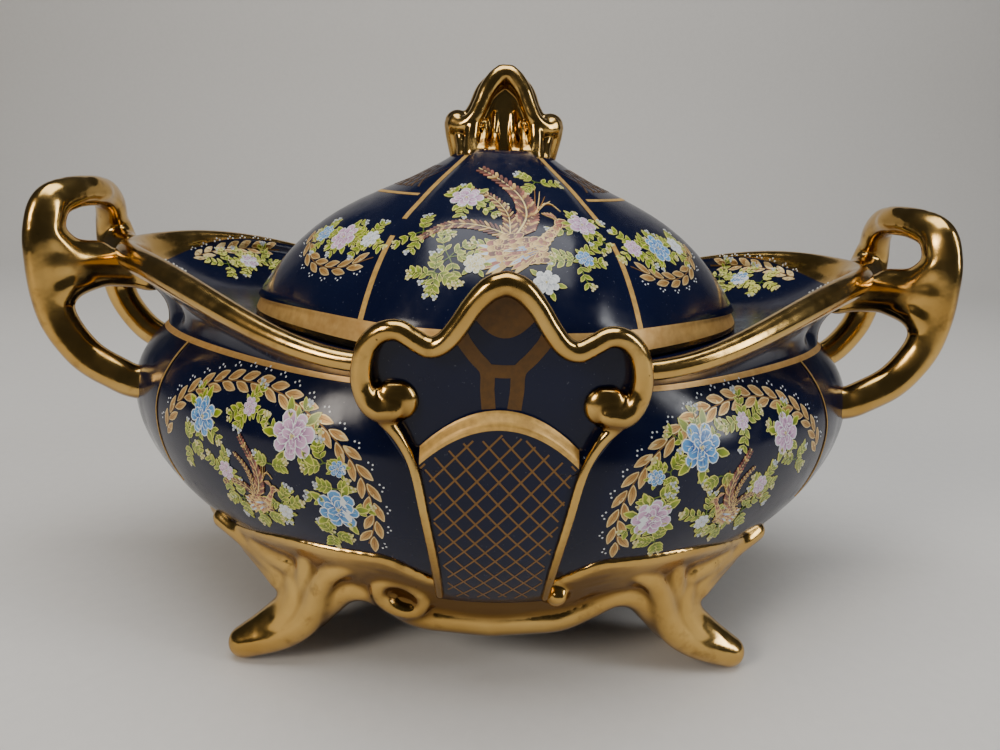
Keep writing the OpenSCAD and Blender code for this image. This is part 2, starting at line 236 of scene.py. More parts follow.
# %% Colours and nodes
def ink(code):
    """Linear colour of an sRGB hex code."""
    values = [int(code[k:k + 2], 16) / 255 for k in (1, 3, 5)]
    light = [v / 12.92 if v <= 0.04045 else ((v + 0.055) / 1.055) ** 2.4 for v in values]
    return (*light, 1.0)


def add(tree, kind, sockets=None, **settings):
    """Adds a node; each entry of sockets is a value to set or another node's output to link."""
    made = tree.nodes.new(kind)
    for name, value in settings.items():
        setattr(made, name, value)
    for socket, value in (sockets or {}).items():
        if isinstance(value, bpy.types.NodeSocket):
            tree.links.new(value, made.inputs[socket])
        else:
            made.inputs[socket].default_value = value
    return made


def per_mm(size):
    return 1000 / size


def new_finish(name):
    material = bpy.data.materials.new(name)
    material.use_nodes = True
    material.node_tree.nodes.clear()
    return material, material.node_tree


# Sockets of a colour Mix node, which has others of the same names for numbers and vectors.
FACTOR, FIRST, SECOND = 0, 6, 7
MIXED = 2
print(f"a pattern of 5 mm has the scale {per_mm(5):.0f}")

# %% [markdown]
# ## Cobalt glaze
# The body is white porcelain under a cobalt glaze so deep that it is almost black. It is glass with
# little roughness. Its IOR is below the 1.5 of clean glass, for the dulled mirror of a handled dish:
# faint dust, wiped streaks and tiny specks break up the reflections, and the glaze ripples slightly
# over the cast surface.

# %% Cobalt glaze
cobalt_glaze, tree = new_finish("cobalt_glaze")
spot = add(tree, "ShaderNodeTexCoord").outputs["Object"]
depth = add(tree, "ShaderNodeTexNoise", {"Vector": spot, "Scale": per_mm(45), "Detail": 3.0})
deep = add(tree, "ShaderNodeMix", {FACTOR: depth.outputs["Fac"], FIRST: ink("#070b22"),
    SECOND: ink("#101836")}, data_type="RGBA")
dust = add(tree, "ShaderNodeTexNoise", {"Vector": spot, "Scale": per_mm(0.9), "Detail": 1.0})
specks = add(tree, "ShaderNodeMapRange", {"Value": dust.outputs["Fac"], "From Min": 0.73,
    "From Max": 0.8, "To Max": 0.35})
dusty = add(tree, "ShaderNodeMix", {FACTOR: specks.outputs["Result"],
    FIRST: deep.outputs[MIXED], SECOND: ink("#6f7480")}, data_type="RGBA")
wipes = add(tree, "ShaderNodeTexNoise", {"Vector": spot, "Scale": per_mm(14), "Detail": 5.0,
    "Roughness": 0.65})
haze = add(tree, "ShaderNodeMapRange", {"Value": wipes.outputs["Fac"], "From Min": 0.35,
    "From Max": 0.75, "To Min": 0.1, "To Max": 0.3})
ripple = add(tree, "ShaderNodeTexNoise", {"Vector": spot, "Scale": per_mm(11), "Detail": 1.0})
swell_bump = add(tree, "ShaderNodeBump", {"Height": ripple.outputs["Fac"], "Strength": 0.12,
    "Distance": 0.0006})
glass = add(tree, "ShaderNodeBsdfPrincipled", {"Base Color": dusty.outputs[MIXED], "IOR": 1.36,
    "Roughness": haze.outputs["Result"], "Normal": swell_bump.outputs["Normal"]})
add(tree, "ShaderNodeOutputMaterial", {"Surface": glass.outputs["BSDF"]})
print("made", cobalt_glaze.name)

# %% [markdown]
# ## Bright gold
# The handles, lip, knob and base are brushed with liquid bright gold, which fires to a film of real
# metal over the glaze. It mirrors the room, so the shader is a metal with its gold colour. Where the
# film is thin it goes brown in patches. The same brown is painted shade in hollows, underneath, on the
# lower bars of the cartouche frames and on the aprons of the base. Small pinholes show where it crawled
# or wore off.

# %% Bright gold
bright_gold, tree = new_finish("bright_gold_lustre")
spot = add(tree, "ShaderNodeTexCoord").outputs["Object"]
film = add(tree, "ShaderNodeTexNoise", {"Vector": spot, "Scale": per_mm(26), "Detail": 4.0})
tone = add(tree, "ShaderNodeMix", {FACTOR: film.outputs["Fac"], FIRST: ink("#a87d38"),
    SECOND: ink("#e2be74")}, data_type="RGBA")
thin = add(tree, "ShaderNodeTexNoise", {"Vector": spot, "Scale": per_mm(9), "Detail": 6.0,
    "Roughness": 0.6})
brown = add(tree, "ShaderNodeMapRange", {"Value": thin.outputs["Fac"], "From Min": 0.56,
    "From Max": 0.74, "To Max": 0.55})
# Painted shade: an attribute of the fused pieces darkens the gold in hollows, underneath, on the lower
# frame bars and on the aprons.
shade_amount = add(tree, "ShaderNodeAttribute", attribute_name="painted_shade")
hollow = add(tree, "ShaderNodeMapRange", {"Value": shade_amount.outputs["Fac"], "From Min": 0.05,
    "From Max": 0.55, "To Max": 0.85})
thin_and_shaded = add(tree, "ShaderNodeMath", {0: brown.outputs["Result"], 1: hollow.outputs["Result"]},
    operation="MAXIMUM")
# Brown where the gold is thin in random patches, and painted shade where the attribute is high.
worn_and_shaded = add(tree, "ShaderNodeMix", {FACTOR: thin_and_shaded.outputs["Value"], FIRST: tone.outputs[MIXED],
    SECOND: ink("#5f4120")}, data_type="RGBA")
cells = add(tree, "ShaderNodeTexVoronoi", {"Vector": spot, "Scale": per_mm(7)})
holes = add(tree, "ShaderNodeMapRange", {"Value": cells.outputs["Distance"], "From Min": 0.06,
    "From Max": 0.03, "To Max": 0.85})
pricked = add(tree, "ShaderNodeMix", {FACTOR: holes.outputs["Result"], FIRST: worn_and_shaded.outputs[MIXED],
    SECOND: ink("#24160c")}, data_type="RGBA")
gloss = add(tree, "ShaderNodeMapRange", {"Value": thin.outputs["Fac"], "From Min": 0.3,
    "From Max": 0.75, "To Min": 0.09, "To Max": 0.28})
brush = add(tree, "ShaderNodeTexNoise", {"Vector": spot, "Scale": per_mm(7), "Detail": 2.0})
brush_bump = add(tree, "ShaderNodeBump", {"Height": brush.outputs["Fac"], "Strength": 0.15,
    "Distance": 0.0006})
metal = add(tree, "ShaderNodeBsdfPrincipled", {"Base Color": pricked.outputs[MIXED],
    "Metallic": 1.0, "Roughness": gloss.outputs["Result"], "Normal": brush_bump.outputs["Normal"]})
add(tree, "ShaderNodeOutputMaterial", {"Surface": metal.outputs["BSDF"]})
print("made", bright_gold.name)

# %% [markdown]
# ## Painted gold, enamel and white glaze
# The thin lines and the leaf wreaths are a flatter, matt gold put on with a pen, tan rather than
# yellow. The bands round the bowl and the lid are the same gold, laid on a little brighter. The flowers
# are coloured enamel printed over the glaze; each mark carries its own colour in an attribute. Inside
# the bowl and the lid the dish is taken to be plain white glaze.

# %% Painted gold, enamel and white glaze
painted_gold, tree = new_finish("painted_gold")
spot = add(tree, "ShaderNodeTexCoord").outputs["Object"]
stroke = add(tree, "ShaderNodeTexNoise", {"Vector": spot, "Scale": per_mm(2.2), "Detail": 4.0})
shade = add(tree, "ShaderNodeAttribute", attribute_name="enamel")
patch = add(tree, "ShaderNodeMapRange", {"Value": stroke.outputs["Fac"], "From Min": 0.35,
    "From Max": 0.75, "To Max": 0.45})
tan = add(tree, "ShaderNodeMix", {FACTOR: patch.outputs["Result"], FIRST: shade.outputs["Color"],
    SECOND: ink("#7d5522")}, data_type="RGBA")
pen = add(tree, "ShaderNodeBsdfPrincipled", {"Base Color": tan.outputs[MIXED], "Metallic": 0.35,
    "Roughness": 0.42})
add(tree, "ShaderNodeOutputMaterial", {"Surface": pen.outputs["BSDF"]})

enamel, tree = new_finish("overglaze_enamel")
spot = add(tree, "ShaderNodeTexCoord").outputs["Object"]
grain = add(tree, "ShaderNodeTexNoise", {"Vector": spot, "Scale": per_mm(0.8), "Detail": 2.0})
shade = add(tree, "ShaderNodeAttribute", attribute_name="enamel")
dots = add(tree, "ShaderNodeMapRange", {"Value": grain.outputs["Fac"], "From Min": 0.3,
    "From Max": 0.7, "To Max": 0.09})
printed = add(tree, "ShaderNodeMix", {FACTOR: dots.outputs["Result"], FIRST: shade.outputs["Color"],
    SECOND: ink("#3c3a36")}, data_type="RGBA")
paint = add(tree, "ShaderNodeBsdfPrincipled", {"Base Color": printed.outputs[MIXED], "IOR": 1.5,
    "Roughness": 0.3})
add(tree, "ShaderNodeOutputMaterial", {"Surface": paint.outputs["BSDF"]})

white_glaze, tree = new_finish("white_glaze")
spot = add(tree, "ShaderNodeTexCoord").outputs["Object"]
cloud = add(tree, "ShaderNodeTexNoise", {"Vector": spot, "Scale": per_mm(30), "Detail": 3.0})
cream = add(tree, "ShaderNodeMix", {FACTOR: cloud.outputs["Fac"], FIRST: ink("#dcd9cf"),
    SECOND: ink("#efede6")}, data_type="RGBA")
china = add(tree, "ShaderNodeBsdfPrincipled", {"Base Color": cream.outputs[MIXED], "IOR": 1.5,
    "Roughness": 0.15})
add(tree, "ShaderNodeOutputMaterial", {"Surface": china.outputs["BSDF"]})

gilt_line, tree = new_finish("painted_gold_line")
spot = add(tree, "ShaderNodeTexCoord").outputs["Object"]
stroke = add(tree, "ShaderNodeTexNoise", {"Vector": spot, "Scale": per_mm(3), "Detail": 4.0})
tan = add(tree, "ShaderNodeMix", {FACTOR: stroke.outputs["Fac"], FIRST: ink("#b98440"),
    SECOND: ink("#f0c67c")}, data_type="RGBA")
pen = add(tree, "ShaderNodeBsdfPrincipled", {"Base Color": tan.outputs[MIXED], "Metallic": 0.4,
    "Roughness": 0.35})
add(tree, "ShaderNodeOutputMaterial", {"Surface": pen.outputs["BSDF"]})
print("made", painted_gold.name, enamel.name, white_glaze.name, gilt_line.name)

# %% [markdown]
# ## The form of the dish
# Every level of the bowl has the same kind of plan: a lozenge with bowed sides, blunt at its ends and
# its front. The belly is two elliptic arcs, four lobes swell from it, and the rim climbs from the
# cartouches to the handles. These are the same rules that the solids were made from.

# %% Plan and belly
BELLY_X, BELLY_Y, BELLY_Z = 163, 110, 92
UNDER_X, UNDER_Z = 127, 34
SHOULDER_X, SHOULDER_Z = 147, 122
BOWL_WALL = 7
LOBE_SWELL = 3
END_CREASE, FRONT_CREASE = 14, 64
BOW_X, BOW_Y, BOW = 1.05, 1.13, 1.4
BLUNT = 20


def sine(degrees):
    return math.sin(math.radians(degrees))


def cosine(degrees):
    return math.cos(math.radians(degrees))


def ramp(value, low, high):
    u = min(1, max(0, (value - low) / (high - low)))
    return u * u * (3 - 2 * u)


def between(a, b, u):
    return a + (b - a) * u


def polar(angle, radius, z):
    return Vector((radius * cosine(angle), radius * sine(angle), z))


def fold(angle):
    """Degrees from the nearer end of the dish, which folds the four quarters on each other."""
    turned = angle % 180
    return min(turned, 180 - turned)


def plan_r(angle, x, y):
    """Radius of the plan with half sizes x and y: bowed sides, cut blunt at the ends and the front."""
    c, s = abs(cosine(angle)), abs(sine(angle))
    side = (c / (BOW_X * x)) ** BOW + (s / (BOW_Y * y)) ** BOW
    return 1 / (side ** (BLUNT / BOW) + (c / x) ** BLUNT + (s / y) ** BLUNT) ** (1 / BLUNT)


BELLY_DROP = (BELLY_Z - UNDER_Z) / math.sqrt(1 - (UNDER_X / BELLY_X) ** 2)
BELLY_RISE = (SHOULDER_Z - BELLY_Z) / math.sqrt(1 - (SHOULDER_X / BELLY_X) ** 2)


def belly_share(z):
    reach = BELLY_DROP if z < BELLY_Z else BELLY_RISE
    return math.sqrt(1 - ((z - BELLY_Z) / reach) ** 2)


def swell(angle):
    q = fold(angle)
    if q < END_CREASE:
        return 0.5 * cosine(90 * q / END_CREASE)
    if q < FRONT_CREASE:
        return sine(180 * (q - END_CREASE) / (FRONT_CREASE - END_CREASE))
    return 0


def belly_r(angle, z, inset=0):
    level = max(0, sine(180 * (z - UNDER_Z) / (SHOULDER_Z - UNDER_Z)))
    share = belly_share(z)
    plain = plan_r(angle, BELLY_X * share - inset, BELLY_Y * share - inset)
    return plain + LOBE_SWELL * swell(angle) * level ** 0.7


print(f"belly {2 * belly_r(0, BELLY_Z):.0f} mm wide")

# %% Rim, flare and mouth
RIM_X, RIM_Y = 167, 105
RIM_END_Z, RIM_DIP_Z = 156, 132
LIP_R, LIP_SWELL = 3.5, 2.2
LIP_FOOT, LIP_TOP, LIP_IN = -50, 112, 200
THROAT = 6
PINCH, PINCH_WIDE = 5, 3
VOLUTE_W = 92
LID_X, LID_Y = 108, 91
LID_GAP = 1.5
SEAT_Z = 127
MOUTH_SHRINK = -6.5
FLARE_SAG = 4


def rim_r(angle):
    return plan_r(angle, RIM_X, RIM_Y)


def climb(angle):
    return ramp(abs(rim_r(angle) * cosine(angle)), VOLUTE_W / 2, 0.95 * RIM_X)


def rim_z(angle):
    return RIM_DIP_Z + (RIM_END_Z - RIM_DIP_Z) * climb(angle)


def lip(angle, turned):
    """Radius and height of a point of the rolled lip, which is thicker at the ends."""
    roll = LIP_R + LIP_SWELL * climb(angle)
    return (rim_r(angle) - roll + roll * cosine(turned), rim_z(angle) - roll + roll * sine(turned))


def neck(angle, u):
    low_r, low_z = belly_r(angle, SHOULDER_Z), SHOULDER_Z
    high_r, high_z = lip(angle, LIP_FOOT)
    pinch = THROAT + PINCH * math.exp(-((fold(angle) - END_CREASE) / PINCH_WIDE) ** 2)
    pinch *= climb(angle) * sine(180 * u)
    return (between(low_r, high_r, u) - pinch, between(low_z, high_z, u))


def lid_r(angle, grow=0):
    return plan_r(angle, LID_X + grow, LID_Y + grow)


def flare(angle, u):
    high_r, high_z = lip(angle, LIP_IN)
    low_r = lid_r(angle, LID_GAP)
    sag = FLARE_SAG * climb(angle) * sine(180 * u)
    return (between(high_r, low_r, u), between(high_z, SEAT_Z, u) - sag)


print(f"rim from {rim_z(90):.0f} to {rim_z(0):.0f} mm high")

# %% [markdown]
# ## The bowl
# The bowl is one skin, from the middle of its underside up the belly, over the lip, down the flare to
# the ledge for the lid and on into the well. It is a grid of rings, so a gilt band is simply the faces
# between two rings, and a ring may bend: the gold of the lip runs wide over the end corners.

# %% Bowl rings
NAVY, GILT, PENNED, WHITE = 0, 1, 2, 3
BELLY_STEPS, NECK_STEPS, FLARE_STEPS, WELL_STEPS = 34, 9, 10, 14
LINE_WIDE = 1.5
FLARE_TOP, FLARE_FOOT = 0.12, 0.985
LEDGE_SOFT = 0.7
GOLD_IN, GOLD_CORNER, GOLD_WAVER = 0.3, 1.5, 0.06
CORNER_WIDE = 13
WELL_TOP, WELL_Z = 111, UNDER_Z + BOWL_WALL
bowl_rings = []


def ring(rings, finish, place):
    """Adds a ring to a skin; finish is for the faces that lead on from it."""
    rings.append((finish, place))


def inside(angle, reach):
    """A point inside the lip: reach is 0 at its top, 1 under the roll and 2 on the flare."""
    if reach < 1:
        return lip(angle, between(LIP_TOP, LIP_IN, reach))
    return flare(angle, FLARE_TOP * (reach - 1))


def gold_reach(angle):
    """How far in the lip's gold comes: wide over the end corners, uneven elsewhere."""
    corner = GOLD_CORNER * math.exp(-(fold(angle) / CORNER_WIDE) ** 2)
    return GOLD_IN + corner + GOLD_WAVER * sine(7 * angle) * cosine(3 * angle)


for share in (0, 0.5, 0.9):
    ring(bowl_rings, NAVY, lambda a, s=share: (s * belly_r(a, UNDER_Z), UNDER_Z))
for k in range(BELLY_STEPS):
    z = between(UNDER_Z, SHOULDER_Z - LINE_WIDE, 1 - (1 - k / BELLY_STEPS) ** 1.25)
    ring(bowl_rings, NAVY, lambda a, z=z: (belly_r(a, z), z))
ring(bowl_rings, PENNED, lambda a: (belly_r(a, SHOULDER_Z - LINE_WIDE), SHOULDER_Z - LINE_WIDE))
ring(bowl_rings, PENNED, lambda a: (belly_r(a, SHOULDER_Z) + 0.3, SHOULDER_Z - 0.2))
ring(bowl_rings, NAVY, lambda a: neck(a, 0.02))
for k in range(NECK_STEPS + 1):
    u = between(0.14, 0.97, k / NECK_STEPS)
    ring(bowl_rings, NAVY if k < NECK_STEPS else GILT, lambda a, u=u: neck(a, u))
for turned in range(LIP_FOOT, 95, 18):
    ring(bowl_rings, GILT, lambda a, t=turned: lip(a, t))
for k in range(4):
    ring(bowl_rings, GILT, lambda a, u=k / 4: inside(a, u * gold_reach(a)))
for k in range(5):
    ring(bowl_rings, NAVY, lambda a, u=k / 5: inside(a, between(gold_reach(a), 2, u)))
for k in range(FLARE_STEPS + 1):
    u = between(FLARE_TOP, FLARE_FOOT, k / FLARE_STEPS)
    ring(bowl_rings, NAVY, lambda a, u=u: flare(a, u))
ring(bowl_rings, NAVY, lambda a: (lid_r(a, LID_GAP - LEDGE_SOFT), SEAT_Z))
ring(bowl_rings, WHITE, lambda a: (lid_r(a, MOUTH_SHRINK + LEDGE_SOFT), SEAT_Z))
ring(bowl_rings, WHITE, lambda a: (lid_r(a, MOUTH_SHRINK + 0.1), SEAT_Z - 0.5))
for z in (SEAT_Z - 3, SEAT_Z - 6.5, SEAT_Z - 8):
    ring(bowl_rings, WHITE, lambda a, z=z: (lid_r(a, MOUTH_SHRINK) + max(0, SEAT_Z - 6 - z), z))
for k in range(WELL_STEPS + 1):
    z = between(WELL_TOP, WELL_Z, sine(90 * k / WELL_STEPS))
    ring(bowl_rings, WHITE, lambda a, z=z: (belly_r(a, z, BOWL_WALL), z))
for share in (0.9, 0.5, 0):
    ring(bowl_rings, WHITE, lambda a, s=share: (s * belly_r(a, WELL_Z, BOWL_WALL), WELL_Z))
print(len(bowl_rings), "rings")

# %% Bowl skin
COLUMNS = 360
GLAZES = [cobalt_glaze, bright_gold, gilt_line, white_glaze]


def skin_through(rings):
    """A closed skin through rings, and a tree that finds places on it."""
    rows = len(rings) - 1

    def place(u, v):
        radius, z = rings[round(v * rows)][1](360 * u)
        return polar(360 * u, radius, z)

    bm = bmesh.new()
    drape(bm, COLUMNS, rows, place, lambda u, v: rings[int(v * rows)][0])
    close(bm)
    return bm, BVHTree.FromBMesh(bm)


bowl_shape, bowl_tree = skin_through(bowl_rings)
finish_piece("bowl_body", bowl_shape, GLAZES, "dish", ["bowl"])

# %% [markdown]
# ## The lid
# The lid is a shell with a locating flange, a gilt edge and a six-sided dome that rises in a soft ogee
# to the knob. Two creases run down beside the front panel, and the same behind, with one at each end.

# %% Lid form
LID_Z = SEAT_Z + 0.3
LID_EDGE = 6
LID_WALL = 5.5
DOME_Z = LID_Z + LID_EDGE
DOME_RISE = 64
KNOB_W = 51
KNOB_SHARE = 0.36 * KNOB_W / LID_X
LID_CREASE, TOP_CREASE = 57, 43
CREASE_DEPTH, CREASE_WIDTH = 1.8, 6
FLANGE_H = 6
FLANGE_OUT = MOUTH_SHRINK - LID_GAP
NAVY_SIDE, NAVY_END, NAVY_WIDE = 0.972, 0.993, 32


def dome_height(share):
    v = (share - KNOB_SHARE) / (1 - KNOB_SHARE)
    return DOME_RISE * (1 - v + 1.25 * (v * v - v ** 3))


def crease_angle(share):
    """A crease beside the front panel leans out to the ends as it climbs."""
    return between(TOP_CREASE, LID_CREASE, (share - KNOB_SHARE) / (1 - KNOB_SHARE))


def crease(angle, share):
    return CREASE_DEPTH * (math.exp(-((fold(angle) - crease_angle(share)) / CREASE_WIDTH) ** 2)
        + math.exp(-(fold(angle) / CREASE_WIDTH) ** 2))


def dome(angle, share, inset=0):
    """Radius and height of the dome at a share of the way from its middle to its edge."""
    plain = plan_r(angle, (LID_X - inset) * share, (LID_Y - inset) * share)
    radius = between(plain, LID_X * share, ramp(-share, -0.6, -KNOB_SHARE))
    radius -= crease(angle, share) * sine(180 * share)
    return (radius, DOME_Z + dome_height(share) - inset)


def navy_share(angle):
    """Where the navy of the dome starts: the gilt edge below it is narrower at the ends."""
    return between(NAVY_SIDE, NAVY_END, math.exp(-(fold(angle) / NAVY_WIDE) ** 2))


def gilt_top(angle):
    return DOME_Z - LID_Z + dome_height(navy_share(angle))


print(f"dome from {DOME_Z:.0f} to {DOME_Z + DOME_RISE:.0f} mm high")

# %% Lid rings
CEILING = 0.3
DOME_STEPS = 43
lid_rings = []


def ceiling(angle, share):
    """The dome from inside, which is level above the share CEILING."""
    radius, z = dome(angle, max(share, CEILING), LID_WALL)
    return (radius * min(1, share / CEILING), z)


for share in (0, 0.15, 0.3, 0.4, 0.5, 0.6, 0.7, 0.8, 0.88, 0.92):
    ring(lid_rings, WHITE, lambda a, s=share: ceiling(a, s))
for grow, drop in ((-LID_WALL, FLANGE_H - 1), (1 - LID_WALL, FLANGE_H), (-1.6, FLANGE_H),
        (-0.8, FLANGE_H - 0.8), (0, 0)):
    ring(lid_rings, WHITE, lambda a, g=grow, d=drop: (lid_r(a, FLANGE_OUT + g), LID_Z - d))
for grow, rise in ((-1.2, 0), (-0.2, 0.03), (0.4, 0.1), (0.4, 0.18), (0, 0.3), (-0.5, 0.45),
        (-1.1, 0.6), (-1.7, 0.75), (-2.3, 0.9)):
    gold = GILT if rise < 0.3 else PENNED
    ring(lid_rings, gold, lambda a, g=grow, r=rise: (lid_r(a, g), LID_Z + r * gilt_top(a)))
for k in range(DOME_STEPS + 1):
    u = k / DOME_STEPS
    ring(lid_rings, NAVY, lambda a, u=u: dome(a, between(navy_share(a), KNOB_SHARE, u)))
ring(lid_rings, NAVY, lambda a: (0, dome(a, KNOB_SHARE)[1]))
print(len(lid_rings), "rings")

# %% Lid skin
lid_shape, lid_tree = skin_through(lid_rings)
finish_piece("lid_shell", lid_shape, GLAZES, "cover", ["lid"])

# %% [markdown]
# ## The knob
# The knob is a crest: two leaves that rise to a point over a deep niche, with a fat curl at each side
# and folds of clay running down into the lid. It is rolled from mouldings round a thin web and fused.

# %% Knob
KNOB_Z = DOME_Z + DOME_RISE
knob = bmesh.new()


def knob_bar(side, face, *beads, **how):
    """Rolls a bar of the knob, mirrored to a side and a face, with its heights from the lid's top."""
    moulding(knob, [(side * x, face * y, KNOB_Z + z, radius) for x, y, z, radius in beads], **how)


def leaf_bar(angle):
    return math.cos(angle), 0.3 * math.sin(angle)


for side in (-1, 1):
    for face in (-1, 1):
        knob_bar(side, face, (-1.5, 2.5, 30.6, 3.8), (3, 3, 29.4, 3.8), (7.2, 4.5, 24.4, 3.5),
            (10, 6, 18, 3.3), (12.8, 7, 12.4, 3.4), (16.5, 5.5, 9.6, 4), (19.3, 2.5, 10, 5.2), around=28)
        knob_bar(side, face, (13, 7.5, 10, 3), (13.4, 9.5, 4, 3.2), (12.8, 12, -2, 3.8))
        knob_bar(side, face, (3.4, 2.6, 15, 1.2), (3.8, 5, 6, 1.6), (4.4, 11, -1, 2.8))
        knob_bar(side, face, (8, 4, 11, 1.4), (8.4, 7, 5, 1.8), (9, 12, -1, 3))
        knob_bar(side, face, (18.6, 4.4, 8, 2.4), (17.6, 6.5, 3, 2.4), (16.4, 9.5, -2, 3.2))
    knob_bar(side, 0, (0, 0, 30.2, 4.2), (7.6, 0, 24.2, 4.4), (11, 0, 16.4, 4.6), (15, 0, 9.5, 5))
    knob_bar(side, 0, (19.6, 0, 10.3, 5.9), (19.4, 0, 6, 5.4), (18.2, 0, 1, 5.4), (17, 0, -2, 6))
knob_bar(1, 0, (0, 0, 28, 3), (0, 0, 20, 8), (0, 0, 10, 13), (0, 0, -2, 16), section=leaf_bar,
    across=(1, 0, 0), around=40, fine=10)
knob = fuse(knob, voxel=0.55, rounds=7)
finish_piece("crest_knob", knob, [bright_gold], "cover", ["lid_knob"])

# %% [markdown]
# ## The handles
# Each handle springs from the end of the rim as a thick arm, parts into two straps that meet overhead
# in one arch, and comes back to the belly as two legs. The straps are not round: their faces are
# flattened between soft edges, so the section here is a squared circle. What is stuck on the bowl runs
# into its wall, and whatever would come out inside the bowl is pressed back into the clay.

# %% Clear well
WELL_SKIN = 3.5


def keep_out_of_well(bm):
    """Presses vertices that lie too deep in the bowl back into its wall or its floor."""
    for v in bm.verts:
        if not UNDER_Z + WELL_SKIN < v.co.z < SHOULDER_Z:
            continue
        angle = math.degrees(math.atan2(v.co.y, v.co.x))
        radius = math.hypot(v.co.x, v.co.y)
        out = belly_r(angle, v.co.z) - WELL_SKIN - radius
        down = v.co.z - UNDER_Z - WELL_SKIN
        if 0 < out <= down:
            v.co = polar(angle, radius + out, v.co.z)
        elif out > down:
            v.co.z -= down


print(f"what is stuck on stays {WELL_SKIN} mm deep in the wall")

# %% Handles
STRAP_Y = 28
SQUARED = 0.72
STRAP_THICK, STRAP_THIN = 1.02, 0.94


def squared_bar(angle):
    c, s = math.cos(angle), math.sin(angle)
    x, y = math.copysign(abs(c) ** SQUARED, c), math.copysign(abs(s) ** SQUARED, s)
    return x * STRAP_THICK, y * STRAP_THIN


def handle(name, end):
    """One handle; the beads of its straps have x, a share of STRAP_Y, z and radius."""
    bm = bmesh.new()

    def strap(side, *beads, **how):
        y = side * STRAP_Y
        moulding(bm, [(end * x, y * share, z, radius) for x, share, z, radius in beads], **how)

    for side in (-1, 1):
        # The front strap turns a squarer corner overhead than the rear one.
        square = -side
        strap(side, (176, -0.15, 174.4, 5.8), (176.2, 0, 174.4, 6),
            (178, 0.46, 173.2 + square * 0.8, 6.2),
            (180.8 + square * 0.8, 0.8 + square * 0.04, 168 + square * 2, 6.9),
            (183.6, 0.98, 158 + square, 7.3), (184.2, 1, 147, 7.4), (184, 1, 134, 7.2), (181, 1, 121, 7),
            (172, 1, 108, 7), (160, 1, 100.4, 7), (154, 0.95, 97, 7), (145, 0.88, 96, 7.4),
            section=squared_bar, around=32)
        strap(side, (182, 0.95, 146, 8), (176, 0.74, 145, 8.4), (168, 0.42, 143.5, 8.2),
            (160, 0.2, 141.5, 7.6), (154, 0.12, 139, 7), section=squared_bar, across=(0, 0, 1), around=32)
        strap(side, (181, 0.98, 158, 6), (177, 0.8, 150, 7), (170, 0.5, 149, 6))
        strap(side, (183, 1, 128, 5.5), (178, 0.88, 138, 7), (170, 0.5, 141, 6))
    bm = fuse(bm, voxel=0.85, rounds=24)
    keep_out_of_well(bm)
    finish_piece("gilt_" + name, bm, [bright_gold], "dish", [name])


handle("left_handle", -1)
handle("right_handle", 1)

# %% [markdown]
# ## The cartouches
# A cartouche is a cobalt plate laid over the front of the belly that stands up above the rim as a
# crest. A fat gilt moulding follows its edge and rolls at each side into a volute with a spoon-shaped
# end. In its lower half a shield swells forward under an arched gilt band.

# %% Cartouche form
VOLUTE_X = VOLUTE_W / 2
FOOT_HALF = 19
PLATE_Z = 41
CREST_Z = 162
HIP_Z, HIP_HALF = 98, 26.5
RELIEF = 5
CREST_LEAN, FACE_BOW = 2, 5
PLATE_DEEP, PLATE_SUNK = 7, 3
MOULD_R = 3.4
SHIELD_TOP, ARCH_DROP, ARCH_SPAN = 118, 13.5, 25.5
SHIELD_STEP, SHIELD_CROWN = 2.2, 1.5


def face_y(z):
    if z < BELLY_Z:
        return RELIEF + BELLY_Y * belly_share(z)
    return RELIEF + BELLY_Y + CREST_LEAN * ramp(z, BELLY_Z, CREST_Z)


def on_face(x, z, out=0.0):
    """A point of the bowed front of a cartouche, or one that stands out from it."""
    return Vector((x, -(face_y(z) - FACE_BOW * (x / VOLUTE_X) ** 2 + out), z))


# The edge of one half of the frame, from the crest to the foot of the volute.
FRAME_EDGE = [(0, 159.2), (5, 157.2), (9.8, 152), (13.8, 145.8), (18, 140.6), (22.4, 138.8), (27, 141),
    (32, 143.6), (37.2, 142.4), (41.4, 138), (43.2, 132)]


def plate_half(z):
    if z < HIP_Z:
        return between(FOOT_HALF, HIP_HALF, (max(0, z - PLATE_Z) / (HIP_Z - PLATE_Z)) ** 1.4)
    return between(HIP_HALF, FRAME_EDGE[-1][0], ramp(z, HIP_Z - 8, SHOULDER_Z + 4))


def plate_top(u):
    """Height of the plate's top edge under the frame, at a share u of its half width."""
    x = abs(u) * FRAME_EDGE[-1][0]
    for (x0, z0), (x1, z1) in zip(FRAME_EDGE, FRAME_EDGE[1:]):
        if x <= x1:
            return between(z0, z1, (x - x0) / (x1 - x0))
    return FRAME_EDGE[-1][1]


def shield_edge(x):
    """Height of the shield's arched top at x."""
    return SHIELD_TOP - ARCH_DROP * (x / ARCH_SPAN) ** 2


def shield_out(x, z):
    """How far the shield stands out from the sunk plate at a point of the face."""
    half = plate_half(min(z, HIP_Z))
    rise = ramp(shield_edge(x) - z, -1.4, 3.4)
    crown = 1 - 0.75 * min(1, abs(x) / half) ** 2
    return -PLATE_SUNK + rise * (SHIELD_STEP + SHIELD_CROWN * crown)


print(f"crest at {CREST_Z} mm, shield {2 * HIP_HALF:.0f} mm wide")

# %% Cartouche plate and frame
SPAN, RISE_STEPS = 96, 150
SPOON_R, BAR_R = 7, 1.7
# Painted shade: the frame's gold is darkened on its lower bars, fading out between the two heights.
BAR_SHADE, BAR_SHADE_LOW, BAR_SHADE_HIGH = 0.3, 112, 134


def frame_bead(x, z, radius, out=0.0):
    return tuple(on_face(x, z, out)) + (radius,)


def spoon_bar(angle):
    return math.cos(angle), 0.55 * math.sin(angle)


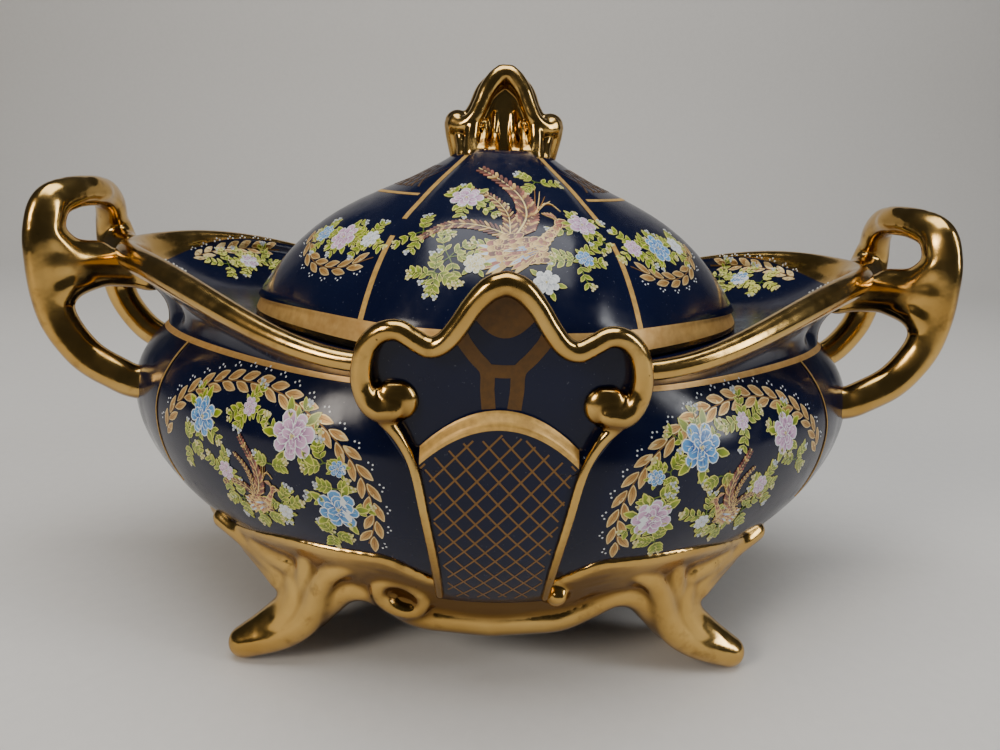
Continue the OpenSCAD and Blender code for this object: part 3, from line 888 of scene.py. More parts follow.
def cartouche(name, facing):
    """One cartouche; the beads of its frame have x, z, a radius and how far they stand out."""
    plate, rim = bmesh.new(), bmesh.new()

    def on_plate(u, v):
        across = 2 * u - 1
        z = between(PLATE_Z - 3, plate_top(across), v)
        x = across * (plate_half(z) + 1.0)
        return on_face(x, z, shield_out(x, z))

    def edge_bar(side, *beads, **how):
        moulding(rim, [frame_bead(side * x, *rest) for x, *rest in beads], **how)

    drape(plate, SPAN, RISE_STEPS, on_plate)
    pushed = bmesh.ops.extrude_face_region(plate, geom=plate.faces[:])["geom"]
    pushed = [v for v in pushed if isinstance(v, bmesh.types.BMVert)]
    bmesh.ops.translate(plate, vec=(0, PLATE_DEEP, 0), verts=pushed)
    bmesh.ops.recalc_face_normals(plate, faces=plate.faces)
    r = MOULD_R
    crest = [(x, z, r + 0.4 * (x < 6)) for x, z in FRAME_EDGE]
    scroll = [(43.4, 126.4, r * 1.05), (41.4, 120.6, r * 1.15), (38, 117.8, r * 1.25),
        (34, 118.2, r * 1.3, -0.8)]
    for side in (-1, 1):
        edge_bar(side, *crest, *scroll, around=28)
        edge_bar(side, (39, 119, r * 1.2, -0.8), (35.8, 119.6, SPOON_R * 0.96, -1.4),
            (32.6, 120.4, SPOON_R, -2), section=spoon_bar, across=(0, 0, 1), around=32)
        edge_bar(side, (41, 121.5, r * 0.95), (38, 116.4, r * 0.8), (32.4, 109.8, r * 0.62),
            (28.4, 102.2, BAR_R), (26, 94.5, BAR_R), (23.6, 82, BAR_R), (21.4, 69, BAR_R),
            (19.8, 56, BAR_R), (FOOT_HALF, PLATE_Z + 1, BAR_R))
    rim = fuse(rim, voxel=0.6, rounds=11)
    # Painted shade on the lower bars of the frame.
    add_painted_shade(rim, lambda place: BAR_SHADE * (1 - ramp(place.z, BAR_SHADE_LOW, BAR_SHADE_HIGH)))
    for bm in (plate, rim):
        keep_out_of_well(bm)
        if facing > 0:
            bmesh.ops.scale(bm, vec=(1, -1, 1), verts=bm.verts)
            bmesh.ops.reverse_faces(bm, faces=bm.faces)
    finish_piece(name + "_plate", plate, [cobalt_glaze], "dish", [name])
    finish_piece(name + "_frame", rim, [bright_gold], "dish", [name])


cartouche("front_cartouche", -1)
cartouche("rear_cartouche", 1)

# %% [markdown]
# ## The base
# The dish stands on a gilt base: a wavy skirt that hugs the underside of the bowl and four splayed
# legs with scrolled knees. On the real dish skirt and legs were pressed as one, so they are rolled as
# mouldings here, fused to one skin, and cut level at the table.

# %% Skirt
SKIRT_X, SKIRT_Y = 114, 82
SKIRT_R, HEM_R = 6, 2.6
SKIRT_CROWN = -0.8
APRON_Z, APRON_WAVE, APRON_ARCH = 18.5, 1.5, 12
HEM_Z, HEM_SIDE, HEM_HUMP = 36, 11, 11
RING_STEPS, ROLL_SIDES, ROLLS = 200, 20, 11


def skirt_radius(angle):
    return plan_r(angle, SKIRT_X, SKIRT_Y)


def from_middle(angle):
    return abs(skirt_radius(angle) * cosine(angle))


def skirt_low(angle):
    """The lower edge hangs in an apron under the shield and arches up beside it."""
    x = from_middle(angle)
    return APRON_Z + APRON_WAVE * ramp(x, 4, 20) + APRON_ARCH * ramp(x, 27, 45)


def hem_z(angle):
    """The hem climbs the belly beside the shield, falls to the knees and hides under the ends."""
    x = from_middle(angle)
    hump = ramp(x, 15, 32) * (1 - ramp(x, 52, 88))
    return HEM_Z + HEM_SIDE * ramp(fold(angle), 20, 30) + HEM_HUMP * hump


def skirt_roll(bm, share):
    """A ring of clay a share of the way up the skirt, hugging the belly where it meets it."""
    radius = between(SKIRT_R, HEM_R, share ** 1.6)

    def place(u, v):
        angle = 360 * u
        z = between(skirt_low(angle) + SKIRT_R, hem_z(angle), share)
        hem = belly_r(angle, hem_z(angle)) - 0.3 * HEM_R
        centre = between(skirt_radius(angle), hem, share)
        if z > UNDER_Z:
            centre = max(centre, belly_r(angle, z) - 0.3 * radius)
        centre += SKIRT_CROWN * sine(180 * share)
        return polar(angle, centre + radius * cosine(360 * v), z + radius * sine(360 * v))

    drape(bm, RING_STEPS, ROLL_SIDES, place)


base = bmesh.new()
for k in range(ROLLS):
    skirt_roll(base, k / (ROLLS - 1))
print(f"skirt of {ROLLS} rolls")

# %% Legs
# Bars of one leg, whose beads have x, y, z and radius; the corners of the dish mirror them.
LEG = [
    [(0, 84, 24, 7), (14, 84.5, 25.2, 6.6), (26, 85, 27, 6.4), (36, 85.5, 32, 6), (46, 85.5, 37.6, 5.8),
        (55, 83.5, 36, 6.2), (63, 80, 28.5, 7), (71, 75.5, 19, 7.6), (78, 69, 11, 7.6)],
    [(52, 91.5, 50, 3.2), (59.5, 88.5, 45, 4.2), (64, 86, 37.5, 4.8), (67, 84, 28.5, 5.4),
        (71.5, 82.5, 20, 6), (79.5, 80.5, 13.5, 6.4), (88.5, 79, 9.5, 6.6), (97, 77.5, 6.6, 6.6)],
    [(76, 74, 46, 4.6), (74, 77, 38.5, 6), (73.5, 79, 29, 6.5), (79, 78.5, 19, 6.8), (90, 77, 10, 6.6)],
    [(84, 71, 41, 4), (77.5, 76, 33, 5), (79, 77, 24, 5.8), (86, 76.5, 15, 6.6), (95.6, 77, 7.2, 6.6)],
    [(68, 71, 42, 9), (71, 71, 32, 9.5), (76, 70, 20, 8.5), (81, 68, 11, 7.6), (80, 64, 7, 7.4)],
    [(80, 64, 7, 7.4), (88, 70.5, 7, 7.2), (96.6, 77, 6.2, 6.8)],
    [(79, 75, 36, 5.4), (88, 69.5, 40.5, 4.8), (98, 62, 43, 4.2), (106, 56, 45, 4),
        (111.5, 51.5, 47, 4.6)],
    [(109, 56, 46.4, 2.4), (107.5, 57, 45.8, 2.2)],
    [(82, 74, 33, 5), (90, 67, 36.5, 4.5), (98, 61, 40, 3.8)],
    [(68.5, 84.6, 50, 3.8), (69.6, 82.8, 43, 4.6), (70.5, 80.8, 35, 5), (71, 80, 28, 5.4)],
    [(76, 78, 42.5, 5), (85, 72.8, 43.4, 4.4), (94, 66, 45.6, 3.6)],
]
for sx in (-1, 1):
    for sy in (-1, 1):
        for bar in LEG:
            moulding(base, [(sx * x, sy * y, z, radius) for x, y, z, radius in bar], around=28)
print(f"legs of {len(LEG)} bars")

# %% Scroll, boss and base skin
# Painted shade: the gold of the aprons, round the middle of the front and the rear, is darkened.
APRON_SHADE = 0.26
SCROLL_X, SCROLL_Y, SCROLL_Z = -33.5, -91.5, 38
SCROLL_LONG, SCROLL_WIDE = 9.2, 6.4
LEAN_ALONG, LEAN_DOWN = 0.82, 0.57


def scroll_bead(turned):
    """A bead of the leaning ring on the front of the skirt."""
    along, over = SCROLL_LONG * cosine(turned), SCROLL_WIDE * sine(turned)
    x = SCROLL_X + along * LEAN_ALONG + over * LEAN_DOWN
    z = SCROLL_Z - along * LEAN_DOWN + over * LEAN_ALONG
    return (x, SCROLL_Y - 0.2 * (z - SCROLL_Z), z, 3)


moulding(base, [scroll_bead(turned) for turned in range(0, 390, 30)])
moulding(base, [(23, -95, 41.5, 4.1), (23.6, -96.6, 43, 4)])
base = fuse(base, voxel=1.1, rounds=8)
# Painted shade on the aprons between the legs.
add_painted_shade(base, lambda place: APRON_SHADE * (1 - ramp(abs(place.x), 34, 58)))
keep_out_of_well(base)
bmesh.ops.bisect_plane(base, geom=base.verts[:] + base.edges[:] + base.faces[:], dist=0.001,
    plane_co=(0, 0, 0), plane_no=(0, 0, 1), clear_inner=True)
bmesh.ops.holes_fill(base, edges=[e for e in base.edges if e.is_boundary])
finish_piece("gilt_base", base, [bright_gold], "dish", ["base_skirt", "front_left_foot",
    "front_right_foot", "rear_left_foot", "rear_right_foot"])

# %% [markdown]
# ## Tools for the decoration
# The flowers and gilt lines are printed and penned over the fired glaze, so they stand up by a hair.
# Each mark here is a small fan of faces drawn on a flat sheet in millimetres, then pressed on the
# porcelain by a ray from the sheet, a little higher than the mark before it. Its colours sit in the
# enamel attribute.

# %% Sheets
SHEET_OFF = 30


class Sheet:
    """A flat sheet held against a skin; at(s, h, lift) is the point of the skin behind (s, h)."""

    def __init__(self, skin, near, rightwards):
        self.skin = skin
        self.middle, self.out, _, _ = skin.find_nearest(Vector(near))
        self.right = Vector(rightwards)
        self.right = (self.right - self.out * self.right.dot(self.out)).normalized()
        self.up = self.out.cross(self.right)
        if self.up.z < 0:
            self.up = -self.up

    def at(self, s, h, lift):
        start = self.middle + self.right * s + self.up * h + self.out * SHEET_OFF
        spot, facing, _, _ = self.skin.ray_cast(start, -self.out)
        return spot + facing * lift


print(f"sheets are held {SHEET_OFF} mm off")

# %% Marks
MARK_LIFT, MARK_STEP, MARK_THICK = 0.1, 0.00025, 0.3
BATCH = 2000


def tint_between(first, second, u):
    return tuple(between(a, b, u) for a, b in zip(first, second))


class Artwork:
    """Marks laid one over the other, each drawn on a sheet in its own colours."""

    def __init__(self):
        self.dry = []
        self.new_batch()
        self.start_picture()

    def new_batch(self):
        self.bm = bmesh.new()
        self.colour = self.bm.loops.layers.float_color.new("enamel")

    def set_dry(self):
        """Puts the marks made so far aside, because operators slow down as a mesh grows."""
        mesh = bpy.data.meshes.new("dry_marks")
        self.bm.to_mesh(mesh)
        self.bm.free()
        self.dry.append(mesh)
        self.new_batch()

    def start_picture(self):
        self.lift = MARK_LIFT

    def face_out(self, verts, out):
        for face in {f for v in verts for f in v.link_faces}:
            face.normal_update()
            if face.normal.dot(out) < 0:
                face.normal_flip()

    def mark(self, sheet, s, h, long, wide, turned, root, tip=None, shape=None, corners=8):
        """A small patch of paint whose colour runs from its root to its tip."""
        if len(self.bm.verts) > BATCH:
            self.set_dry()
        made = bmesh.ops.create_circle(self.bm, cap_ends=True, cap_tris=True, segments=corners,
            radius=1)["verts"]
        self.lift += MARK_STEP
        run, rise = cosine(turned), sine(turned)
        for v in made:
            tint = tint_between(root, tip or root, ramp(v.co.x, -0.9, 0.9))
            for loop in v.link_loops:
                loop[self.colour] = tint
            x, y = v.co.x * long / 2, v.co.y * wide / 2
            if shape:
                y *= shape(v.co.x)
            v.co = sheet.at(s + x * run - y * rise, h + x * rise + y * run, self.lift)
        self.face_out(made, sheet.out)

    def strip(self, place, steps, tint, out, across=1):
        """A ribbon of paint; place(u, v, lift) gives its points, u across and v along."""
        self.lift += MARK_STEP
        made = drape(self.bm, across, steps, lambda u, v: place(u, v, self.lift))
        for v in made:
            for loop in v.link_loops:
                loop[self.colour] = tint
        self.face_out(made, out)

    def line(self, sheet, points, width, tint, taper=0.0):
        """A penned line through points (s, h) of a sheet; taper thins it towards its end."""
        path = [p.to_2d() for p in spline([(s, h, 0, 0) for s, h in points], 5)]
        last = len(path) - 1
        runs = [(path[min(k + 1, last)] - path[max(k - 1, 0)]).normalized() for k in range(last + 1)]

        def place(u, v, lift):
            k = round(v * last)
            side = Vector((-runs[k].y, runs[k].x)) * width * (1 - taper * v) * (u - 0.5)
            return sheet.at(path[k].x + side.x, path[k].y + side.y, lift)

        self.strip(place, last, tint, sheet.out)

    def finish(self, name, finish, body):
        self.set_dry()
        for mesh in self.dry:
            self.bm.from_mesh(mesh)
            bpy.data.meshes.remove(mesh)
        piece = finish_piece(name, self.bm, [finish], body, smooth=False)
        film = piece.modifiers.new("film", "SOLIDIFY")
        film.thickness = MARK_THICK * MM
        film.offset = -1


def pointed(x):
    return 1 - 0.55 * x * x


def petal(x):
    return 0.8 + 0.2 * x


print(f"marks lie {MARK_LIFT} mm over the glaze")

# %% [markdown]
# ## Flowers and leaves
# Peonies, sprays of buds and laurel are the oldest stock of such prints, and these are drawn afresh.
# A peony is three rings of petals, each deep at its root and edged in white, round a pale eye. A leaf
# is a green mark on a slightly larger yellow one, which gives it the thin bright outline of the real
# print.

# %% Flowers and leaves
WHITE_LINE = ink("#e9eef0")
BLUE = (ink("#0f4596"), ink("#62a8e2"))
MAUVE = (ink("#8a5086"), ink("#e0b8d6"))
CREAM = (ink("#b9a94e"), ink("#efe9bd"))
SNOW = (ink("#8f9aa6"), ink("#e6eaec"))
LEAF = (ink("#566c0c"), ink("#9cae1c"))
LEAF_EDGE = ink("#dcd972")
LAUREL = (ink("#a87a3e"), ink("#d6ab6a"))
LAUREL_EDGE = ink("#efd69a")
PEN_GOLD = ink("#d8ad5e")
DULL_GOLD = ink("#7d5a2b")
DARK_GOLD = ink("#573d1b")
chance = random.Random(7)


def step(s, h, far, way):
    """The spot that lies far away from (s, h) in a direction in degrees."""
    return s + far * cosine(way), h + far * sine(way)


def leaf(art, sheet, s, h, length, turned):
    art.mark(sheet, s, h, length, length * 0.5, turned, LEAF_EDGE, shape=pointed)
    art.mark(sheet, s, h, length * 0.84, length * 0.37, turned, *LEAF, pointed)


def bud(art, sheet, s, h, size, tints):
    for k in range(3):
        way = 120 * k + 20
        art.mark(sheet, *step(s, h, size * 0.36, way), size * 0.7, size * 0.6, way, *tints, corners=6)


def peony(art, sheet, s, h, size, tints, turned=0):
    for k in range(5):
        way = turned + 72 * k + chance.uniform(-14, 14)
        leaf(art, sheet, *step(s, h, size * 0.56, way), size * 0.42, way)
    for petals, reach, wide in ((7, 0.33, 0.38), (5, 0.2, 0.34), (3, 0.09, 0.24)):
        for k in range(petals):
            way = turned + 360 * k / petals + 70 * reach
            fat = chance.uniform(0.86, 1.16)
            x, y = step(s, h, size * reach, way)
            art.mark(sheet, x, y, size * 0.37 * fat, size * wide * fat, way, WHITE_LINE, shape=petal,
                corners=10)
            art.mark(sheet, x, y, size * 0.32 * fat, size * (wide * fat - 0.055), way, *tints, petal, 10)
            art.mark(sheet, x, y, size * 0.2, size * 0.02, way, tints[1], WHITE_LINE, corners=4)
    bud(art, sheet, s, h, size * 0.1, CREAM)


def spray(art, sheet, s, h, way, length, tints):
    """A curved twig with leaves on both sides and buds at its end."""
    bend = chance.choice((-1, 1)) * chance.uniform(15, 35)
    path = [(s, h)]
    for k in range(3):
        way += bend / 3
        path.append(step(*path[-1], length / 3, way))
    art.line(sheet, path, 0.4, LEAF[0])
    for x, y in path[1:]:
        for side in (-1, 1):
            turned = way + side * 48
            leaf(art, sheet, *step(x, y, 1.5, turned), chance.uniform(3.2, 4.6), turned)
    x, y = path[-1]
    for k in range(2):
        turned = way + chance.uniform(-60, 60)
        bud(art, sheet, *step(x, y, 2.4, turned), chance.uniform(1.5, 2), tints)


def posies(art, sheet, *beds):
    """Sprays all round the middle of each bed (s, h), with its reach and the number of its sprays."""
    for s, h, reach, sprays in beds:
        for k in range(sprays):
            way = 360 * k / sprays + chance.uniform(-20, 20)
            length = reach * chance.uniform(0.75, 1.1)
            spray(art, sheet, s, h, way, length, SNOW if k % 2 else CREAM)


def laurel(inks, gold, sheet, points, length, dots):
    """A gold stem with leaves in pairs and triplets of white dots on one side of it."""
    path = spline([(s, h, 0, 0) for s, h in points], 24)
    gold.line(sheet, points, 0.45, DULL_GOLD)
    walked = 0.5 * length
    for first, second in zip(path, path[1:]):
        walked += (second - first).length
        if walked < length * 0.95:
            continue
        walked = 0
        run = math.degrees(math.atan2(second.y - first.y, second.x - first.x))
        for side in (-1, 1):
            way = run + side * 17
            x = first.x + length * (0.24 * cosine(run + side * 90) + 0.16 * side * cosine(run))
            y = first.y + length * (0.24 * sine(run + side * 90) + 0.16 * side * sine(run))
            gold.mark(sheet, x, y, length * 1.06, length * 0.4, way, LAUREL_EDGE, shape=pointed,
                corners=14)
            gold.mark(sheet, x, y, length * 0.92, length * 0.3, way, *LAUREL, pointed, 14)
            gold.mark(sheet, x, y, length * 0.8, length * 0.03, way, DARK_GOLD, corners=4)
        for k in range(3):
            far = length * (0.62 + 0.12 * (k == 1))
            x = first.x + far * cosine(run + dots * 90) + (k - 1) * 1.3 * cosine(run)
            y = first.y + far * sine(run + dots * 90) + (k - 1) * 1.3 * sine(run)
            inks.mark(sheet, x, y, 0.7, 0.7, 0, WHITE_LINE, corners=6)


print("peony, spray and laurel are ready")

# %% [markdown]
# ## Birds
# A long-tailed bird sits among the flowers. It is built of feathers, as a painter would lay them:
# barbs along a curved quill make the tail, short overlapping scales the body, and longer strokes the
# wing.

# %% Birds
PLUME = (ink("#33191a"), ink("#86503f"))
RUST = (ink("#5c2322"), ink("#b9705a"))
OCHRE = (ink("#94631d"), ink("#f0cd80"))
WING_BLUE = (ink("#1a5cae"), ink("#d6e8f6"))
QUILL = ink("#f2dc94")
FEATHER_EDGE = ink("#e6c67e")


def plume(art, sheet, points, wide, barbs, tints):
    """A tail feather: barbs on both sides of a curved quill, short at its tip."""
    path = [p.to_2d() for p in spline([(s, h, 0, 0) for s, h in points], barbs)]
    for k in range(len(path) - 2):
        u = k / len(path)
        run = path[k + 1] - path[k]
        way = math.degrees(math.atan2(run.y, run.x))
        long = wide * (1.15 - 0.75 * u)
        for side in (-1, 1):
            turned = way + side * 38
            x, y = step(*path[k], 0.45 * long, turned)
            art.mark(sheet, x, y, long, wide * 0.2, turned, *tints[k % len(tints)], corners=6)
    art.line(sheet, points, wide * 0.1, QUILL, 0.6)


def bird(art, sheet, s, h, size):
    """A long-tailed bird with its breast at (s, h); size scales its millimetres."""
    def spots(*points):
        return [(s + size * x, h + size * y) for x, y in points]

    def stroke(x, y, long, wide, turned, tints, shape=pointed):
        (px, py), = spots((x, y))
        art.mark(sheet, px, py, size * long * 1.14, size * wide * 1.3, turned, FEATHER_EDGE,
            shape=shape)
        art.mark(sheet, px, py, size * long, size * wide, turned, *tints, shape)

    def tail(wide, barbs, tints, *points):
        plume(art, sheet, spots(*points), size * wide, barbs, tints)

    tail(3, 9, (PLUME, OCHRE, PLUME), (1, 1), (-7, 5), (-14, 5.5), (-20, 2.5))
    for k in range(6):
        crest = spots((1, 3), (4 + 0.5 * k, 9 + k), (4.5 + 1.1 * k, 20 - 1.6 * k))
        art.line(sheet, crest, size * 0.5, OCHRE[k % 2], 0.8)
    tail(4.6, 10, (PLUME, OCHRE, RUST, PLUME), (0, 2), (2.5, 9), (0.5, 17), (-8, 27))
    tail(2.6, 8, (PLUME, OCHRE), (-1, 2), (-1.5, 9), (-5, 15), (-11, 19))
    for k in range(8):
        tint = (WING_BLUE, RUST, WING_BLUE, OCHRE)[k % 4]
        stroke(-3.5 + 0.2 * k, -1.5 - 0.5 * k, 8.5, 1.3, 168 + 9 * k, tint)
    for row in range(6):
        for k in range(8):
            x, y = -4 + 1.45 * k - 0.2 * row, -5.4 + 1.35 * row + 0.25 * k
            if (x - 1) ** 2 / 42 + (y + 1.6) ** 2 / 16 < 1:
                stroke(x, y, 2.2, 1.7, 190 + 5 * row, (OCHRE, RUST, PLUME)[(row + 2 * k) % 3], petal)
    for k in range(7):
        tint = (OCHRE, WING_BLUE, RUST)[k % 3]
        stroke(1.5 + 0.1 * k, -0.4 - 0.75 * k, 9 - 0.5 * k, 1.2, 186 + 7 * k, tint)
    for k in range(6):
        stroke(5.4 + 0.75 * k, 0.2 + 1.2 * k, 2.8, 3.2 - 0.3 * k, 235, (OCHRE, RUST)[k % 2], petal)
    stroke(9.9, 7.6, 2.9, 2.3, 200, RUST, None)
    stroke(11.7, 7.5, 2.2, 0.9, -6, (QUILL, OCHRE[0]))
    for k in range(4):
        stroke(8.4 - 0.4 * k, 9.3 + 0.1 * k, 3, 0.6, 118 + 13 * k, RUST)
    stroke(10.3, 7.9, 0.6, 0.6, 0, (DARK_GOLD, DARK_GOLD), None)


print("birds are ready")

# %% [markdown]
# ## The painted bowl
# Each of the four lobes carries the same picture in an open laurel wreath: peonies along the wreath
# and a bird among sprays below. The sheets are mirrored so that every picture leans to its cartouche.
# On the flare above, a short wreath and one flower lie behind each handle.

# %% Bowl decoration
bowl_gold = Artwork()
arc = [(-3 + 50 * cosine(t), -9 + 36 * sine(t)) for t in range(165, -27, -9)]
for sy, name in ((-1, "front_flowers"), (1, "rear_flowers")):
    bowl_inks = Artwork()
    for sx in (-1, 1):
        bowl_inks.start_picture()
        bowl_gold.start_picture()
        lobe = Sheet(bowl_tree, (sx * 86, sy * 89.5, 88), (-sx * 0.875, sy * 0.483, 0))
        first, second = (BLUE, MAUVE) if sx * sy > 0 else (MAUVE, BLUE)
        laurel(bowl_inks, bowl_gold, lobe, arc, 7.4, 1)
        posies(bowl_inks, lobe, (-34, 0, 8, 3), (-25, 12, 10, 3), (-3, 20, 8, 4), (18, 14, 12, 4),
            (31, 7, 6, 3), (35, -2, 5, 2), (35, -10, 10, 3), (31, -21, 5, 3))
        peony(bowl_inks, lobe, -25.5, 12, 14.5, first, 10)
        peony(bowl_inks, lobe, -2, 20, 6, MAUVE)
        peony(bowl_inks, lobe, 18.5, 14, 16.5, second, 40)
        peony(bowl_inks, lobe, 36, 5.5, 6, BLUE)
        peony(bowl_inks, lobe, 35, -10, 14.5, first, 75)
        posies(bowl_inks, lobe, (-14, -6, 8, 4), (-6, -15, 8, 4), (10, 3, 6, 2), (13, -12, 8, 4),
            (4, -19, 6, 3))
        bird(bowl_inks, lobe, 2, -13, 0.86)
        peony(bowl_inks, lobe, -12, -5, 7.5, MAUVE)
        peony(bowl_inks, lobe, 14, -15, 6, SNOW)
        ledge_angle = math.degrees(math.atan2(sy * 44, sx * 148))
        spot_r, spot_z = flare(ledge_angle, 0.29)
        shelf = Sheet(bowl_tree, polar(ledge_angle, spot_r, spot_z + 3), (-sx, sy * 0.9, 0))
        laurel(bowl_inks, bowl_gold, shelf, [(-25, 3), (-12, 8), (4, 9.5), (21, 8)], 6.5, 1)
        posies(bowl_inks, shelf, (-10, -1, 9, 4), (2, 0, 10, 4), (13, 1, 9, 4))
        peony(bowl_inks, shelf, 2, 1, 9, first)
    bowl_inks.finish(name, enamel, "dish")

# %% Bowl gilding
END_LINE = 21
for angle in (END_LINE, 180 - END_LINE, 180 + END_LINE, 360 - END_LINE):
    def end_line(u, v, lift, angle=angle):
        z = between(SHOULDER_Z - 1, 62, v)
        radius = belly_r(angle, z) + lift
        return polar(angle + math.degrees((u - 0.5) * between(3.2, 0.8, v) / radius), radius, z)

    bowl_gold.strip(end_line, 40, PEN_GOLD, polar(angle, 1, 0))
bowl_gold.finish("bowl_gilding", painted_gold, "dish")

# %% [markdown]
# ## The painted lid
# The front and rear panels of the lid hold one large bird with flowers round it. The side panels have
# a wreath with peonies above it, and a few penned lines higher up. A gold line runs down each crease.

# %% Lid decoration
lid_inks, lid_gold = Artwork(), Artwork()
for sy in (-1, 1):
    lid_inks.start_picture()
    panel = Sheet(lid_tree, (0, sy * 60, 169), (-sy, 0, 0))
    posies(lid_inks, panel, (-29, 0, 9, 4), (-19, -14, 11, 5), (-24, -20, 7, 4), (28, 4, 11, 5),
        (27, -12, 9, 5), (-12, 16, 11, 5), (-2, -8, 9, 4), (12, 30, 8, 3))
    bird(lid_inks, panel, 4, -8, 1.72)
    peony(lid_inks, panel, -14, 18, 12.5, MAUVE, 20)
    peony(lid_inks, panel, 29, 7, 11, MAUVE, 50)
    peony(lid_inks, panel, 15, -23, 9.5, SNOW, 5)
    peony(lid_inks, panel, -10, -17, 8, CREAM)
    peony(lid_inks, panel, 29, -11, 6.5, BLUE)
    for sx in (-1, 1):
        lid_inks.start_picture()
        lid_gold.start_picture()
        side = Sheet(lid_tree, (sx * 62, sy * 43, 161), (-sx * 0.8, sy * 0.6, 0))
        laurel(lid_inks, lid_gold, side, [(-24, 6), (-17, -5), (-5, -11), (9, -11), (21, -5)], 7.5, -1)
        posies(lid_inks, side, (-14, 5, 8, 4), (0, 2, 9, 4), (13, 3, 9, 4))
        peony(lid_inks, side, -1, 3, 13, BLUE if sx > 0 else MAUVE, 15)
        peony(lid_inks, side, 14, 3, 8, MAUVE if sx > 0 else SNOW)
        peony(lid_inks, side, -15, 5, 9, SNOW if sx > 0 else BLUE)
lid_inks.finish("lid_flowers", enamel, "cover")

# %% Lid gilding
def dome_spot(angle, share, lift):
    radius, z = dome(angle, share)
    spot = polar(angle, radius, z)
    return spot + lid_tree.find_nearest(spot)[1] * lift


for end, lean in ((0, 0), (0, 1), (180, -1), (180, 0), (180, 1), (360, -1)):
    for low, high in ((navy_share(end + lean * LID_CREASE), 0.74), (0.66, 0.2)):
        def crease_line(u, v, lift, end=end, lean=lean, low=low, high=high):
            share = between(low, high, v)
            angle = end + lean * crease_angle(share)
            turn = math.degrees((u - 0.5) * 2.4 / dome(angle, share)[0])
            return dome_spot(angle + turn, share, lift)

        lid_gold.strip(crease_line, 40, PEN_GOLD, polar(end + lean * LID_CREASE, 1, 1))
BAND_SHARE, BAND_REACH = 0.5, crease_angle(0.5) - 8
FRONDS = 8
for quarter in range(4):
    mirrored = quarter in (1, 3)
    start = 180 * (quarter // 2) + (176 - BAND_REACH if mirrored else 4)

    def panel_band(u, v, lift, start=start):
        return dome_spot(start + BAND_REACH * v, BAND_SHARE + 0.016 * (u - 0.5), lift)

    middle = polar(start + BAND_REACH / 2, 1, 1)
    lid_gold.strip(panel_band, 40, PEN_GOLD, middle)
    for k in range(FRONDS):
        def frond(u, v, lift, start=start, k=k):
            angle = start + BAND_REACH * between(0.2, 0.8, (k + 0.5) / FRONDS)
            angle += (v - 0.5) * (13 if k % 2 else -13)
            return dome_spot(angle + (u - 0.5) * 1.4 * (1 - v), between(0.44, 0.27, v), lift)

        lid_gold.strip(frond, 12, DARK_GOLD, middle)
lid_gold.finish("lid_gilding", painted_gold, "cover")

# %% [markdown]
# ## The gilded cartouches
# The shield has an arched gilt band and a penned trellis. Above it a gilt yoke hangs from the crest,
# and the recess under the crest is a solid cap of gold, painted dark as the dark reflection in that
# recess. The sheet here is the face of the cartouche itself.

# %% Cartouche gilding
class FaceSheet:
    """The front of a cartouche as a sheet, in its own x and z."""

    def __init__(self, facing):
        self.facing = facing
        self.out = Vector((0, facing, 0))

    def at(self, x, z, lift):
        spot = on_face(x, z, shield_out(x, z) + lift)
        return Vector((x, -self.facing * spot.y, z))


ARCH_BAND, ARCH_HALF = 4.4, 25.4
TRELLIS_Z, TRELLIS_PITCH, TRELLIS_SLOPE, TRELLIS_PEN = 80, 7.8, 1.12, 0.6
TRELLIS_SPOTS = [x / 2 for x in range(-56, 57, 3)]
CAP_HALF, CAP_Z, CAP_HOLLOW = 11, 142, 8.5
YOKE_PEN = 4.4


def in_shield(x, z):
    return abs(x) < plate_half(z) - 2.4 and PLATE_Z + 1 < z < shield_edge(x) - ARCH_BAND - 1.5


shield_gold = Artwork()
for facing in (-1, 1):
    face = FaceSheet(facing)
    shield_gold.start_picture()
    for lean in (-1, 1):
        for k in range(-9, 10):
            z = TRELLIS_Z + TRELLIS_PITCH * k
            run = [(x, z + lean * TRELLIS_SLOPE * x) for x in TRELLIS_SPOTS]
            run = [p for p in run if in_shield(*p)]
            if len(run) > 1:
                shield_gold.line(face, run, TRELLIS_PEN, DULL_GOLD)

    def arch_band(u, v, lift, face=face):
        x = between(-ARCH_HALF, ARCH_HALF, v)
        return face.at(x, shield_edge(x) + 0.8 - (ARCH_BAND + 1) * u, lift + 0.2)

    def crest_cap(u, v, lift, face=face):
        x = between(-CAP_HALF, CAP_HALF, v)
        top = plate_top(x / FRAME_EDGE[-1][0]) - 1
        return face.at(x, between(top, CAP_Z + CAP_HOLLOW * (x / CAP_HALF) ** 2, u), lift)

    shield_gold.strip(arch_band, 60, PEN_GOLD, face.out, 8)
    for side in (-1, 1):
        yoke = [(side * 13.8, 144.8), (side * 12.2, 140.6), (side * 8.6, 135.8), (side * 5, 131.5),
            (side * 4.6, 125), (side * 4, 119)]
        shield_gold.line(face, yoke, YOKE_PEN, DARK_GOLD)
    shield_gold.line(face, [(-5, 131.6), (0, 131.4), (5, 131.6)], 4.2, DARK_GOLD)
    # Painted dark reflection: the cap is dark gold for the shade in the recess under the crest.
    shield_gold.strip(crest_cap, 24, DARK_GOLD, face.out, 6)
shield_gold.finish("cartouche_gilding", painted_gold, "dish")

# %% [markdown]
# ## Stage and light
# A pale sweep of paper stands under and behind the dish. Gold and glaze show only what they mirror,
# so the main light is a ceiling of soft light, which leaves the glaze dark, with two small ones for
# sparkle.

# %% Stage
PAPER_HALF, PAPER_LONG, PAPER_FRONT = 1800, 3400, -1500
BEND_Y, BEND_RUN, BEND_R = 900, 600, 400
WALL_STRETCH = 1.6
sweep_shape = bmesh.new()


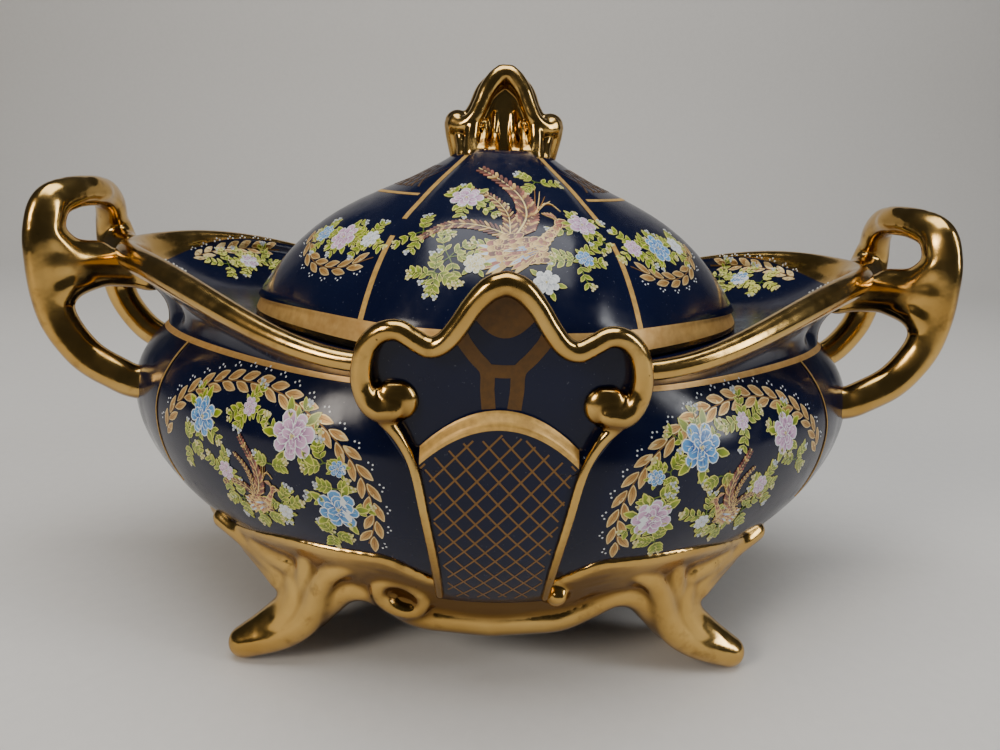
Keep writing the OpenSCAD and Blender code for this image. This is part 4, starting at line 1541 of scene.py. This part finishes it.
def on_paper(u, v):
    x = between(-PAPER_HALF, PAPER_HALF, u)
    run = PAPER_FRONT + v * PAPER_LONG
    if run < BEND_Y:
        return Vector((x, run, 0))
    bend = 90 * min(1, (run - BEND_Y) / BEND_RUN)
    wall = WALL_STRETCH * max(0, run - BEND_Y - BEND_RUN)
    return Vector((x, BEND_Y + BEND_R * sine(bend), BEND_R * (1 - cosine(bend)) + wall))


drape(sweep_shape, 8, 68, on_paper)
bmesh.ops.recalc_face_normals(sweep_shape, faces=sweep_shape.faces)
for face in sweep_shape.faces:
    face.smooth = True
bmesh.ops.scale(sweep_shape, vec=(MM, MM, MM), verts=sweep_shape.verts)
paper_mesh = bpy.data.meshes.new("paper_sweep")
sweep_shape.to_mesh(paper_mesh)
sweep_shape.free()
paper = bpy.data.objects.new("paper_sweep", paper_mesh)
scene.collection.objects.link(paper)
paper_finish, tree = new_finish("pale_paper")
spot = add(tree, "ShaderNodeTexCoord").outputs["Object"]
fibre = add(tree, "ShaderNodeTexNoise", {"Vector": spot, "Scale": per_mm(6), "Detail": 3.0})
pale = add(tree, "ShaderNodeMix", {FACTOR: fibre.outputs["Fac"], FIRST: ink("#cfcdc9"),
    SECOND: ink("#d6d4d0")}, data_type="RGBA")
sheet = add(tree, "ShaderNodeBsdfPrincipled", {"Base Color": pale.outputs[MIXED], "Roughness": 0.7})
add(tree, "ShaderNodeOutputMaterial", {"Surface": sheet.outputs["BSDF"]})
paper_mesh.materials.append(paper_finish)

# %% Lights
def soft_light(name, place, target, width, depth, watts, tint="#ffffff"):
    lamp = bpy.data.lights.new(name, "AREA")
    lamp.shape = "RECTANGLE"
    lamp.size, lamp.size_y = width, depth
    lamp.energy = watts
    lamp.color = ink(tint)[:3]
    holder = bpy.data.objects.new(name, lamp)
    scene.collection.objects.link(holder)
    holder.location = place
    aim = Vector(target) - Vector(place)
    holder.rotation_euler = aim.to_track_quat("-Z", "Y").to_euler()


soft_light("overhead", (0.0, -0.1, 1.7), (0, 0, 0.1), 1.5, 1.1, 24)
soft_light("left_front", (-1.1, -1.0, 0.9), (0, 0, 0.1), 0.45, 0.6, 13, "#fff4e6")
soft_light("right_strip", (1.2, -0.5, 0.7), (0, 0, 0.12), 0.25, 0.9, 7)
world = bpy.data.worlds.new("studio")
scene.world = world
world.use_nodes = True
world.node_tree.nodes["Background"].inputs["Color"].default_value = ink("#8a8d92")
world.node_tree.nodes["Background"].inputs["Strength"].default_value = 0.18
